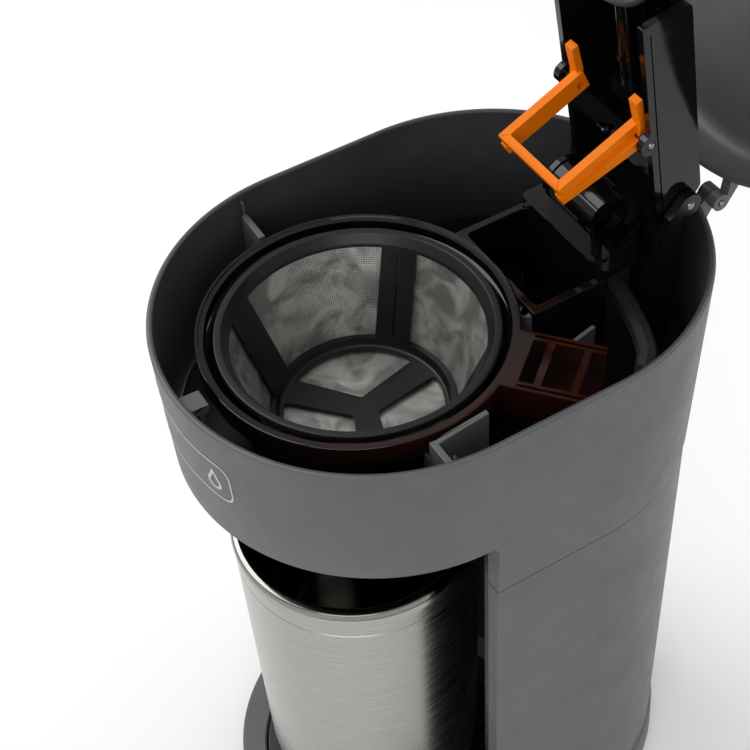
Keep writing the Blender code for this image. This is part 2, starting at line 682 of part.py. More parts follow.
def make_hinge():
    deck = DECK_Z + DECK_THICK + 0.3
    post = prism("hinge_post", [(67.7, 259), (73.0, 259), (73.0, deck), (69.6, deck)], -21.7, 21.7,
                 axis="X", colour=BLACK, roughness=0.4)
    ear_outline = [(68.0, deck), (72.8, deck), (72.8, 265.6),
                   *arc(HINGE_Y, HINGE_Z, 4.0, -120, 150, 14), (68.0, 268.6)]
    for side in (-1, 1):
        x0, x1 = sorted((side * 22.3, side * 25.3))
        ear = prism(f"hinge_ear_{side}", ear_outline, x0, x1, axis="X")
        web_x = sorted((side * 21.0, side * 23.5))
        web = box(f"hinge_web_{side}", (web_x[0], 70.6, deck + 1), (web_x[1], 72.2, 252))
        join(post, ear, web)
    bore = cylinder("post_bore", 1.65, (-40, HINGE_Y, HINGE_Z), (40, HINGE_Y, HINGE_Z))
    cut(post, bore)
    shade(post)
    for side, word in SIDES:
        pin = cylinder(f"hinge_pin_{word}", 1.5, (side * 17.6, HINGE_Y, HINGE_Z),
                       (side * 25.6, HINGE_Y, HINGE_Z), colour=STEEL, roughness=0.3,
                       metallic=1.0)
        shade(pin)


def make_seal_frame():
    """The orange frame, open at the rear, drawn flat with its pivot at the origin, then tilted."""
    inner_half, outer_half, front = 12.4, 15.4, -29.6
    top, low, flange_top = 4.2, -2.5, 0.6
    frame = prism("seal_frame", rounded(-outer_half, outer_half, front + 0.9, 2.4, 0.8, 2), low,
                  top, colour=ORANGE, roughness=0.5)
    flange = prism("seal_flange", [(-outer_half - 0.3, front), (outer_half + 0.3, front),
                                   (18.2, 2.0), (-18.2, 2.0)], low, flange_top)
    join(frame, flange)
    notches = [box(f"seal_notch_{side}", (min(side * outer_half, side * 19), front - 1, low - 1),
                   (max(side * outer_half, side * 19), front + 0.9, top + 1)) for side in (-1, 1)]
    inside = box("seal_inside", (-inner_half, front + 3.65, low - 2), (inner_half, 9, top + 2))
    under = box("seal_under", (-inner_half, front - 2, low - 2), (inner_half, front + 5, top - 2.2))
    cut(frame, inside, under, *notches)
    tabs = []
    for side in (-1, 1):
        x0, x1 = sorted((side * 13.6, side * 17.3))
        tabs.append(prism(f"seal_tab_{side}", [(-1.0, 0.2), (2.0, 0.2), (3.4, 4.2), (5.0, 13.4),
                                              (2.6, 13.4), (0.9, 4.2)], x0, x1, axis="X"))
    join(frame, *tabs)
    bore = cylinder("seal_bore", 1.3, (-30, 0, 0), (30, 0, 0), steps=20)
    cut(frame, bore)
    shade(frame)
    place_seal(frame)
    for side, word in SIDES:
        pin = cylinder(f"seal_pin_{word}", 1.2, (side * 14.6, 0, 0), (side * 21.9, 0, 0),
                       steps=20, colour=STEEL, roughness=0.3, metallic=1.0)
        shade(pin)
        place_seal(pin)


def place_seal(obj):
    obj.location = (0, SEAL_Y * MM, SEAL_Z * MM)
    obj.rotation_euler = (SEAL_TILT, 0, 0)


# ---------------------------------------------------------------- basket, filter, mug

def make_basket():
    profile = [(BASKET_RADIUS, 257), (BASKET_RADIUS, 249.5), (45.4, 249.5), (33.1, 213.5),
               (6.0, 213.5), (5.4, 200.0), (3.6, 200.0), (3.6, 215.5), (31.0, 215.5),
               (43.6, 252.5), (46.0, 253.5), (46.0, 257)]
    basket = turned("brew_basket", profile, centre=(0, BREW_Y), steps=36, colour=SMOKE,
                    roughness=0.15)
    flat = box("basket_front_flat", (-40, BREW_Y - 70, 240), (40, BREW_Y - 47.9, 270))
    rear_flat = box("basket_rear_flat", (-40, MOUTH_FRONT_Y - 0.7, 240), (40, 50, 270))
    cut(basket, flat, rear_flat)
    a = Vector((math.cos(ARM_ANGLE), math.sin(ARM_ANGLE)))
    b = Vector((-a.y, a.x))

    def along(r, s):
        return (a.x * r + b.x * s, BREW_Y + a.y * r + b.y * s)

    outer, inner, end = 11.5, 8.5, 73.0
    arm = prism("basket_arm", [along(47.4, -outer), along(end, -outer), along(end, outer),
                               along(47.4, outer)], 245.5, 257)
    join(basket, arm)
    pockets = [prism(f"arm_pocket_{i}", [along(r0, -inner), along(r1, -inner), along(r1, inner),
                                         along(r0, inner)], 247.5, 262)
               for i, (r0, r1) in enumerate(((51.5, 56.0), (58.2, 66.8), (69.0, 76.0)))]
    cut(basket, *pockets)
    shade(basket, 30)


def filter_radius(depth):
    share = depth / FILTER_DEPTH
    return FILTER_RADIUS - 1.0 + share * (FILTER_FOOT_RADIUS - FILTER_RADIUS + 1.0)


def make_filter():
    foot_z = FILTER_Z - FILTER_DEPTH
    skin = 1.3
    profile = [(FILTER_RADIUS, FILTER_Z), (FILTER_RADIUS, FILTER_Z - 2.4),
               (filter_radius(2.4) - 0.8, FILTER_Z - 2.4), (filter_radius(38) - 0.8, foot_z + 1.0),
               (0, foot_z + 1.0), (0, foot_z + 2.4), (filter_radius(38) - skin - 0.8, foot_z + 2.4),
               (filter_radius(3) - skin - 0.8, FILTER_Z - 3), (FILTER_RADIUS - 2.2, FILTER_Z)]
    frame = turned("filter_frame", profile, centre=(0, BREW_Y), steps=36, colour=BLACK,
                   roughness=0.4)
    windows = []
    for index in range(4):
        middle = ARM_ANGLE + math.pi / 4 + index * math.pi / 2
        half = math.radians(39.5)
        rays = [(60 * math.cos(middle + t), BREW_Y + 60 * math.sin(middle + t))
                for t in (-half, -half / 2, 0, half / 2, half)]
        outline = [(8 * math.cos(middle), BREW_Y + 8 * math.sin(middle)), *rays]
        windows.append(prism(f"side_window_{index}", outline, foot_z + 6, FILTER_Z - 5.4))
    for index in range(3):
        start = math.degrees(ARM_ANGLE) + 60 + index * 120 + 10
        ring = arc(0, BREW_Y, 25.2, start + 4, start + 96, 8)
        tip = start + 50
        corner = (6.5 * math.cos(math.radians(tip)), BREW_Y + 6.5 * math.sin(math.radians(tip)))
        windows.append(prism(f"floor_window_{index}", [corner, *ring], foot_z - 5, foot_z + 5))
    cut(frame, *windows)
    shade(frame, 30)
    mesh_skin = 0.45
    cup = [(filter_radius(4), FILTER_Z - 4), (FILTER_FOOT_RADIUS, foot_z), (0, foot_z),
           (0, foot_z + mesh_skin), (FILTER_FOOT_RADIUS - mesh_skin, foot_z + mesh_skin),
           (filter_radius(4) - mesh_skin, FILTER_Z - 4)]
    mesh = turned("filter_mesh", cup, centre=(0, BREW_Y), steps=36, colour=STEEL, roughness=0.35,
                  metallic=0.6)
    shade(mesh)


def make_mug():
    centre = (0, MUG_Y)
    turned("mug_shell", [(MUG_RADIUS - 0.9, MUG_RIM_Z - 4.2), (MUG_RADIUS - 0.6, MUG_RIM_Z - 7),
                         (MUG_RADIUS - 0.7, MUG_RIM_Z - 10), (39.6, TRAY_Z + 26),
                         (37.2, TRAY_Z + 5), (36.0, TRAY_Z + 2.6), (31, TRAY_Z + 2.2),
                         (31, TRAY_Z + 3.2), (35.4, TRAY_Z + 3.6), (36.2, TRAY_Z + 6),
                         (38.6, TRAY_Z + 27), (MUG_RADIUS - 1.7, MUG_RIM_Z - 10),
                         (MUG_RADIUS - 1.8, MUG_RIM_Z - 4.2)],
           centre=centre, steps=36, colour=STEEL, roughness=0.25, metallic=1.0)
    turned("mug_liner", [(MUG_RADIUS - 2.2, MUG_RIM_Z), (MUG_RADIUS - 0.6, MUG_RIM_Z - 0.8),
                         (MUG_RADIUS, MUG_RIM_Z - 2.2), (MUG_RADIUS - 0.5, MUG_RIM_Z - 3.7),
                         (MUG_RADIUS - 2.6, MUG_RIM_Z - 3.7), (35.2, TRAY_Z + 28),
                         (33.0, TRAY_Z + 10), (28, TRAY_Z + 6), (0, TRAY_Z + 6),
                         (0, TRAY_Z + 7), (27.6, TRAY_Z + 7), (32.2, TRAY_Z + 11),
                         (34.3, TRAY_Z + 28), (MUG_RADIUS - 4.3, MUG_RIM_Z - 2.4),
                         (MUG_RADIUS - 3.6, MUG_RIM_Z - 0.6)],
           centre=centre, steps=36, colour=STEEL, roughness=0.25, metallic=1.0)
    turned("mug_pad", [(0, TRAY_Z + 5.4), (30.6, TRAY_Z + 5.4), (30.6, TRAY_Z + 1.8),
                       (34.4, TRAY_Z + 1.8), (34.4, TRAY_Z + 0.3), (0, TRAY_Z + 0.3)],
           centre=centre, steps=36, colour=RUBBER, roughness=0.8)


# ---------------------------------------------------------------- controls

def make_controls():
    """The power button on the right flank of the base, and the cord's inlet."""
    z, x = 14.0, TOP_RADIUS - 1.6
    bezel = cylinder("button_bezel", 8.0, (x - 4.4, 0, z), (x + 1.0, 0, z), steps=32, colour=BLACK,
                     roughness=0.35)
    cut(bezel, cylinder("bezel_bore", 6.2, (x - 8, 0, z), (x + 5, 0, z), steps=32))
    shade(bezel)
    button = cylinder("power_button", 5.8, (x - 3.6, 0, z), (x + 1.5, 0, z), steps=32, colour=GREY,
                      roughness=0.4)
    cut(button, cylinder("lens_seat", 1.9, (x + 0.3, 0, z), (x + 5, 0, z), steps=16))
    shade(button)
    lens = cylinder("indicator_lens", 1.6, (x + 0.6, 0, z), (x + 1.6, 0, z), steps=16,
                    colour=ORANGE, roughness=0.2)
    shade(lens)
    body = box("switch_body", (53.2, -6, 8.6), (59.0, 6, 19.2), colour=BLACK, roughness=0.5)
    join(body, cylinder("switch_stem", 1.6, (57, 0, z), (59.5, 0, z), steps=12))
    gland = turned("cord_gland", [(6.0, 3.0), (6.0, 0.0), (8.4, 0.0), (8.4, -2.2), (3.6, -2.2),
                                  (3.6, 3.0)], steps=24, colour=BLACK, roughness=0.5)
    rear_y = PLAN_HALF + SEAM_RADIUS - 0.4
    turn = Matrix.Rotation(math.radians(90), 4, "X")
    gland.data.transform(Matrix.Translation(Vector((0, rear_y + 0.3, CORD_Z)) * MM) @ turn)
    shade(gland)


def build():
    make_upper_housing()
    make_tower_shell()
    make_bay_liner()
    make_inner_deck()
    for side in (-1, 1):
        make_basket_support(side)
    make_seat_bracket()
    make_front_catch()
    make_base()
    make_feet()
    make_screws()
    make_tray()
    make_tank()
    make_fill_neck()
    make_spout_block()
    make_heating()
    make_lid_cover()
    make_lid_hinge()
    make_arm_channel()
    make_shower()
    make_hinge()
    make_seal_frame()
    make_basket()
    make_filter()
    make_mug()
    make_controls()
    for part in PARTS.objects:
        part.location.y -= ORIGIN_Y * MM
    bpy.context.view_layer.update()


build()
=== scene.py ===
"""Looks of the single-serve drip coffee maker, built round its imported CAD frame.

Sizes are in millimetres in the plan's own axes: x = 0, y = 0 is the middle of the
housing, z = 0 is the surface it stands on, and -y is the front, where the mug is.
"""

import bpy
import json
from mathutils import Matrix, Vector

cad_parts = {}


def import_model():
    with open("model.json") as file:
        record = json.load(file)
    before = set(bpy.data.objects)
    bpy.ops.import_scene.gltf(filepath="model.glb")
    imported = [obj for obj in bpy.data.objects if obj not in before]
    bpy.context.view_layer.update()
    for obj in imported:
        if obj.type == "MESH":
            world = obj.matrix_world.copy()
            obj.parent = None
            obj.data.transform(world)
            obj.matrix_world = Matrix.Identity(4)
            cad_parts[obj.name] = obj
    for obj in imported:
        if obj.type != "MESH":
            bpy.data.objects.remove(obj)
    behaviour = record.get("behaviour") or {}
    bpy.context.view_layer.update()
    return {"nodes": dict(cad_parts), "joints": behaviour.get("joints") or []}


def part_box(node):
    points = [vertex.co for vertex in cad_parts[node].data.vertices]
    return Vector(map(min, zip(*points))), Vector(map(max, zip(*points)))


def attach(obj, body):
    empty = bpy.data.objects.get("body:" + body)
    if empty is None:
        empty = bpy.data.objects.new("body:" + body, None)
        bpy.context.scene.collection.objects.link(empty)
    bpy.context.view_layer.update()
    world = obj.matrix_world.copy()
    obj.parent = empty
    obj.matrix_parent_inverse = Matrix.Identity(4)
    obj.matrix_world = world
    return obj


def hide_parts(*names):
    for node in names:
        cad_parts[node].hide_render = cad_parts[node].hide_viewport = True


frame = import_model()

import json
import math

import bmesh
import bpy
from mathutils import Matrix, Vector

MM = 0.001
SCENE = bpy.context.scene
PLAN_Y = (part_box("base_shell")[0].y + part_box("base_shell")[1].y) / 2
JOINTS = {joint["name"]: joint for joint in frame["joints"]}


def span(node):
    """Lowest and highest corner of a CAD node, in plan millimetres."""
    shift = Vector((0, PLAN_Y, 0))
    return [(corner - shift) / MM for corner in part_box(node)]


def pivot(joint):
    x, y, z = JOINTS[joint]["pos_m"]
    return Vector((x, y - PLAN_Y, z)) / MM


def lowest_angle(joint):
    return math.radians(JOINTS[joint]["range_deg"][0])


# ---------------------------------------------------------------- driving sizes

TOP_RADIUS = span("upper_housing")[1].x
PLAN_HALF = span("base_shell")[1].y - span("base_shell")[1].x
SEAM_RADIUS = span("tower_shell")[1].x + 0.4
WALL = 2.0
SEAM_Z = span("tower_shell")[1].z + 0.3
RIM_Z = span("tower_shell")[1].z + 72.2
LIP_Z = 216.0
TOWER_FRONT_Y = span("tower_shell")[0].y
TOWER_LOW_Z = span("tower_shell")[0].z
DECK_TOP_Z = span("inner_deck")[1].z
BASE_LOW, BASE_HIGH = span("base_shell")

FILTER_LOW, FILTER_HIGH = span("filter_frame")
BREW_Y = (FILTER_LOW.y + FILTER_HIGH.y) / 2
FILTER_Z = FILTER_HIGH.z
FILTER_RADIUS = FILTER_HIGH.x
FILTER_FOOT_RADIUS = 28.4
FILTER_FOOT_Z = span("filter_mesh")[0].z
BASKET_RADIUS = -span("brew_basket")[0].x
BASKET_Z = span("brew_basket")[1].z
ARM_ANGLE = math.radians(40)
NICHE_RADIUS = 59.8

NECK_LOW, NECK_HIGH = span("fill_neck")
HINGE = pivot("arm_hinge")
LID_HINGE = pivot("lid_hinge")
SEAL = pivot("seal_frame_fold")
ARM_OPEN = lowest_angle("arm_hinge")
LID_OPEN = lowest_angle("lid_hinge")
SEAL_TILT = math.radians(24.5)
CHANNEL_HALF = span("arm_channel")[1].x

MUG_LOW, MUG_HIGH = span("mug_liner")
MUG_Y = (MUG_LOW.y + MUG_HIGH.y) / 2
MUG_RADIUS = MUG_HIGH.x
MUG_RIM_Z = MUG_HIGH.z
TRAY_Z = span("drip_grate")[1].z

TURN = 2 * math.pi
PLAN_STEPS = 160            # steps in a full turn of the plan's round ends
ROUND_STEPS = 128           # steps in a full turn of a round part


# ---------------------------------------------------------------- mesh tools

def world(x, y, z):
    return Vector((x * MM, y * MM + PLAN_Y, z * MM))


def to_object(bm, name):
    bmesh.ops.recalc_face_normals(bm, faces=bm.faces)
    mesh = bpy.data.meshes.new(name)
    bm.to_mesh(mesh)
    bm.free()
    obj = bpy.data.objects.new(name, mesh)
    SCENE.collection.objects.link(obj)
    return obj


def fillet(points, radius, steps=4):
    """Round the corners of a closed outline. A point's third number is its own radius."""
    rounded = []
    for index, point in enumerate(points):
        size = point[2] if len(point) > 2 else radius
        here = Vector(point[:2])
        before = Vector(points[index - 1][:2]) - here
        after = Vector(points[(index + 1) % len(points)][:2]) - here
        angle = before.angle(after)
        if size <= 0 or angle > math.radians(176):
            rounded.append(tuple(here))
            continue
        reach = min(size / math.tan(angle / 2), 0.48 * before.length, 0.48 * after.length)
        start, end = here + before.normalized() * reach, here + after.normalized() * reach
        for step in range(steps + 1):
            t = step / steps
            rounded.append(tuple(start * (1 - t) ** 2 + here * 2 * t * (1 - t) + end * t ** 2))
    return rounded


def stadium(radius, half, steps=PLAN_STEPS):
    """Two half circles joined by straight sides, or a circle when half is 0."""
    count = steps // 2
    last = count + 1 if half else count
    back = [(radius * math.cos(math.pi * i / count), half + radius * math.sin(math.pi * i / count))
            for i in range(last)]
    return back + [(-x, -y) for x, y in back]


def circle(radius, centre=(0, 0), steps=48):
    return [(centre[0] + x, centre[1] + y) for x, y in stadium(radius, 0, steps)]


def rectangle(x0, x1, y0, y1, radius=0.0, steps=4):
    return fillet([(x0, y0), (x1, y0), (x1, y1), (x0, y1)], radius, steps)


def sector(centre, radius, start, end, steps=16):
    """Points on an arc, angles in degrees."""
    angles = [math.radians(start + (end - start) * i / steps) for i in range(steps + 1)]
    return [(centre[0] + radius * math.cos(a), centre[1] + radius * math.sin(a)) for a in angles]


def extrude(name, outline, low, high, axis="Z", top=None):
    """A closed slab. Along X the outline is in y and z, along Y in x and z."""
    orders = {"Z": lambda a, b, c: (a, b, c), "X": lambda a, b, c: (c, a, b),
              "Y": lambda a, b, c: (a, c, b)}
    bm = bmesh.new()
    near = [bm.verts.new(world(*orders[axis](a, b, low))) for a, b in outline]
    far = [bm.verts.new(world(*orders[axis](a, b, high))) for a, b in top or outline]
    bm.faces.new(near)
    bm.faces.new(far)
    for i in range(len(near)):
        bm.faces.new((near[i - 1], near[i], far[i], far[i - 1]))
    return to_object(bm, name)


def turned(name, profile, centre=(0, 0), half=0.0, steps=ROUND_STEPS, capped=False):
    """Carry a profile of radius and height round a circle or a stadium."""
    bm = bmesh.new()
    rings = []
    for radius, z in profile:
        outline = stadium(radius, half, steps) if radius > 1e-6 else [(0, 0)]
        rings.append([bm.verts.new(world(centre[0] + x, centre[1] + y, z)) for x, y in outline])
    pairs = zip(rings, rings[1:]) if capped else zip(rings, rings[1:] + rings[:1])
    for one, two in pairs:
        count = max(len(one), len(two))
        if count == 1:
            continue
        for i in range(count):
            corners = (one[i % len(one)], one[(i + 1) % len(one)], two[(i + 1) % len(two)],
                       two[i % len(two)])
            bm.faces.new(list(dict.fromkeys(corners)))
    if capped:
        for ring in (rings[0], rings[-1]):
            if len(ring) > 2:
                bm.faces.new(ring)
    return to_object(bm, name)


def block(name, low, high, radius=0.0, axis="Z"):
    """A box between two corners, its four edges along the axis rounded."""
    a, b, c = {"Z": (0, 1, 2), "X": (1, 2, 0), "Y": (0, 2, 1)}[axis]
    return extrude(name, rectangle(low[a], high[a], low[b], high[b], radius), low[c], high[c], axis)


def rod(name, radius, start, end, steps=48, end_radius=None):
    start, end = world(*start), world(*end)
    way = end - start
    turn = way.to_track_quat("Z", "Y").to_matrix().to_4x4()
    bm = bmesh.new()
    bmesh.ops.create_cone(bm, cap_ends=True, segments=steps, radius1=radius * MM,
                          radius2=(radius if end_radius is None else end_radius) * MM,
                          depth=way.length, matrix=Matrix.Translation((start + end) / 2) @ turn)
    return to_object(bm, name)


def boolean(obj, others, operation):
    for other in others:
        modifier = obj.modifiers.new("shape", "BOOLEAN")
        modifier.operation = operation
        modifier.object = other
    bpy.context.view_layer.update()
    graph = bpy.context.evaluated_depsgraph_get()
    mesh = bpy.data.meshes.new_from_object(obj.evaluated_get(graph))
    obj.modifiers.clear()
    obj.data = mesh
    for other in others:
        bpy.data.objects.remove(other, do_unlink=True)
    return obj


def cut(obj, *cutters):
    return boolean(obj, cutters, "DIFFERENCE")


def join(obj, *others):
    return boolean(obj, others, "UNION")


def keep(obj, *limits):
    return boolean(obj, limits, "INTERSECT")


def swing(obj, centre, angle):
    """Turn a mesh about a line through a plan point, along X."""
    place = Matrix.Translation(world(*centre))
    obj.data.transform(place @ Matrix.Rotation(angle, 4, "X") @ place.inverted())
    return obj


def piece(obj, look, body, *nodes, edge=0.0, smooth=35):
    """Give a mesh its material, its shading and its place in the frame."""
    mesh = obj.data
    mesh.materials.clear()
    mesh.materials.append(look["material"])
    for face in mesh.polygons:
        face.material_index = 0
    bm = bmesh.new()
    bm.from_mesh(mesh)
    bmesh.ops.remove_doubles(bm, verts=bm.verts, dist=0.01 * MM)
    bm.to_mesh(mesh)
    bm.free()
    mesh.shade_smooth()
    if edge:
        bevel = obj.modifiers.new("edges", "BEVEL")
        bevel.width = edge * MM
        bevel.segments = 2
        bevel.limit_method = "ANGLE"
        bevel.angle_limit = math.radians(40)
        bevel.harden_normals = True
        bevel.use_clamp_overlap = False
    else:
        mesh.set_sharp_from_angle(angle=math.radians(smooth))
    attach(obj, body)
    if nodes:
        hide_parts(*nodes)
    return obj


# ---------------------------------------------------------------- materials

class Surface:
    """A Principled material and the few node chains that the looks below share."""

    def __init__(self, name, colour, roughness, metallic=0.0, **sockets):
        self.material = bpy.data.materials.new(name)
        self.material.use_nodes = True
        self.tree = self.material.node_tree
        self.shader = self.tree.nodes["Principled BSDF"]
        self.set("Base Color", (*colour, 1.0))
        self.set("Roughness", roughness)
        self.set("Metallic", metallic)
        for socket, value in sockets.items():
            self.set(socket.replace("_", " "), value)
        self.bump = None

    def set(self, socket, value):
        self.shader.inputs[socket].default_value = value

    def node(self, kind, **inputs):
        made = self.tree.nodes.new(kind)
        for socket, value in inputs.items():
            made.inputs[socket.replace("_", " ")].default_value = value
        return made

    def link(self, source, output, target, socket):
        self.tree.links.new(source.outputs[output], target.inputs[socket])

    def noise(self, scale, stretch=(1, 1, 1), detail=4.0, roughness=0.55):
        """Noise in the part's own space; scale is in features a metre."""
        place = self.node("ShaderNodeTexCoord")
        mapping = self.node("ShaderNodeMapping", Scale=stretch)
        noise = self.node("ShaderNodeTexNoise", Scale=scale, Detail=detail, Roughness=roughness)
        self.link(place, "Object", mapping, "Vector")
        self.link(mapping, "Vector", noise, "Vector")
        return noise

    def vary_colour(self, source, dark, light, low=0.35, high=0.65):
        ramp = self.node("ShaderNodeValToRGB")
        ramp.color_ramp.elements[0].position = low
        ramp.color_ramp.elements[1].position = high
        ramp.color_ramp.elements[0].color = (*dark, 1)
        ramp.color_ramp.elements[1].color = (*light, 1)
        self.link(source, "Fac", ramp, "Fac")
        self.link(ramp, "Color", self.shader, "Base Color")

    def vary_roughness(self, source, low, high):
        spread = self.node("ShaderNodeMapRange", From_Min=0.3, From_Max=0.7, To_Min=low, To_Max=high)
        self.link(source, "Fac", spread, "Value")
        self.link(spread, "Result", self.shader, "Roughness")

    def raise_by(self, source, strength, distance, output="Fac"):
        bump = self.node("ShaderNodeBump", Strength=strength, Distance=distance * MM)
        self.link(source, output, bump, "Height")
        if self.bump:
            self.link(self.bump, "Normal", bump, "Normal")
        self.link(bump, "Normal", self.shader, "Normal")
        self.bump = bump


def look(surface, slot):
    return {"material": surface.material, "slot": slot}


def scaled(colour, factor):
    return tuple(channel * factor for channel in colour)


def make_plastic(name, colour, roughness, grain, spread=0.08, **sockets):
    """Moulded plastic: faint mottling, uneven gloss and a fine spark-eroded grain."""
    surface = Surface(name, colour, roughness, **sockets)
    mottle = surface.noise(45)
    surface.vary_colour(mottle, scaled(colour, 1 - spread), scaled(colour, 1 + spread))
    surface.vary_roughness(surface.noise(120), roughness - 0.04, roughness + 0.05)
    surface.raise_by(surface.noise(60, detail=2), 0.15, 0.08)
    surface.raise_by(surface.noise(2600, detail=3), grain, 0.05)
    return surface


def make_smoke(name):
    """Glossy near-black plastic whose colour turns red-brown towards the object's right side: the
    near-black is its own tone, the red-brown is painted light shining through it.
    """
    surface = Surface(name, (0.02, 0.006, 0.004), 0.07, Transmission_Weight=0.14, IOR=1.49,
                      Specular_IOR_Level=0.34)
    place = surface.node("ShaderNodeTexCoord")
    split = surface.node("ShaderNodeSeparateXYZ")
    # Colour rising with x towards red-brown: painted glow of light passing through the plastic.
    across = surface.node("ShaderNodeMapRange", From_Min=0.02, From_Max=0.07, To_Min=-0.2, To_Max=0.8)
    cloud = surface.noise(70)
    sway = surface.node("ShaderNodeMath")
    sway.operation = "MULTIPLY_ADD"
    sway.inputs[1].default_value = 0.4
    surface.link(place, "Object", split, "Vector")
    surface.link(split, "X", across, "Value")
    surface.link(cloud, "Fac", sway, 0)
    surface.link(across, "Result", sway, 2)
    ramp = surface.node("ShaderNodeValToRGB")
    ramp.color_ramp.elements[0].color = (0.003, 0.0028, 0.0036, 1)
    ramp.color_ramp.elements[1].color = (0.034, 0.0055, 0.002, 1)
    surface.link(sway, "Value", ramp, "Fac")
    surface.link(ramp, "Color", surface.shader, "Base Color")
    surface.vary_roughness(surface.noise(150), 0.05, 0.13)
    surface.raise_by(surface.noise(75, detail=2), 0.2, 0.12)
    return surface


def make_steel(name, roughness, brushing, shade):
    """Stainless steel brushed round the axis; the lines run level."""
    colour = (shade, shade * 0.97, shade * 0.92)
    surface = Surface(name, colour, roughness, 1.0)
    lines = surface.noise(1, stretch=(60, 60, 3800), detail=3)
    surface.vary_colour(lines, scaled(colour, 0.82), scaled(colour, 1.1), 0.3, 0.7)
    surface.vary_roughness(lines, roughness * 0.75, roughness * 1.35)
    surface.raise_by(lines, brushing, 0.02)
    return surface


def make_weave():
    """Fine stainless mesh: threads from the piece's UV map, open between them."""
    colour = (0.50, 0.49, 0.465)
    surface = Surface("filter_weave", colour, 0.36, 0.65)
    uv = surface.node("ShaderNodeUVMap")
    uv.uv_map = "weave"
    split = surface.node("ShaderNodeSeparateXYZ")
    surface.link(uv, "UV", split, "Vector")
    waves = []
    for axis in ("X", "Y"):
        turn = surface.node("ShaderNodeMath")
        turn.operation = "MULTIPLY"
        turn.inputs[1].default_value = math.pi
        wave = surface.node("ShaderNodeMath")
        wave.operation = "SINE"
        size = surface.node("ShaderNodeMath")
        size.operation = "ABSOLUTE"
        surface.link(split, axis, turn, 0)
        surface.link(turn, "Value", wave, 0)
        surface.link(wave, "Value", size, 0)
        waves.append(size)
    threads = surface.node("ShaderNodeMath")
    threads.operation = "MAXIMUM"
    surface.link(waves[0], "Value", threads, 0)
    surface.link(waves[1], "Value", threads, 1)
    cover = surface.node("ShaderNodeMapRange", From_Min=0.62, From_Max=0.80, To_Min=0.30, To_Max=1.0)
    surface.link(threads, "Value", cover, "Value")
    surface.link(cover, "Result", surface.shader, "Alpha")
    # Broad lighter and darker bands in the colour are painted sheen for the uneven reflections of the wavy
    # mesh; the same noise also bumps it.
    sheen_and_ripple = surface.node("ShaderNodeTexNoise", Scale=0.06, Detail=2.0, Distortion=1.4)
    surface.link(uv, "UV", sheen_and_ripple, "Vector")
    surface.vary_colour(sheen_and_ripple, scaled(colour, 0.50), scaled(colour, 1.15), 0.38, 0.66)
    surface.raise_by(sheen_and_ripple, 0.3, 1.2)
    surface.raise_by(threads, 0.5, 0.12, output="Value")
    return surface


GREY = (0.088, 0.090, 0.094)
BLACK = (0.0055, 0.0055, 0.006)
ORANGE = (0.80, 0.180, 0.0)

grey = look(make_plastic("grey_moulding", GREY, 0.46, 0.16), "grey_plastic")
# A darker copy of the grey (0.45): painted shade for the head's inner walls.
painted_shade_grey = look(make_plastic("painted_shade_grey_moulding", scaled(GREY, 0.45), 0.46, 0.16), "grey_plastic")
black = look(make_plastic("black_moulding", BLACK, 0.34, 0.10, 0.2,
                          Specular_IOR_Level=0.35), "black_plastic")
floor_grey = look(make_plastic("dark_grey_moulding", (0.016, 0.016, 0.017), 0.42, 0.12, 0.1),
                  "black_plastic")
smoke = look(make_smoke("smoked_moulding"), "smoked_plastic")
orange = look(make_plastic("orange_moulding", ORANGE, 0.42, 0.12, 0.05,
                           Specular_IOR_Level=0.12), "orange_plastic")
brushed = look(make_steel("brushed_steel", 0.26, 0.5, 0.40), "steel")
# Darker colour (0.24 against 0.40) is painted shade matched to the inside of the mug, carried onto screws
# and pins; the lower roughness is the real polish.
polished_shaded_steel = look(make_steel("polished_steel_painted_shade", 0.13, 0.12, 0.24), "steel")
rubber = look(make_plastic("black_rubber", (0.018, 0.018, 0.018), 0.78, 0.5, 0.15), "rubber")
aluminium = look(make_plastic("cast_aluminium", (0.56, 0.56, 0.58), 0.42, 0.6, 0.08, Metallic=1.0),
                 "aluminium")
weave = look(make_weave(), "filter_mesh")
lens = look(make_plastic("amber_lens", (0.9, 0.30, 0.05), 0.16, 0.02, 0.05,
                         Transmission_Weight=0.5), "lens")
mark_ink = look(make_plastic("pale_print", (0.46, 0.46, 0.46), 0.55, 0.10, 0.05), "grey_plastic")


# ---------------------------------------------------------------- housing

def plan_radius(z):
    """Radius of the head's outer face at a height."""
    share = (z - SEAM_Z) / (RIM_Z - SEAM_Z)
    return SEAM_RADIUS + share * (TOP_RADIUS - SEAM_RADIUS)


def plan_solid(name, profile):
    return turned(name, profile, half=PLAN_HALF, steps=PLAN_STEPS, capped=True)


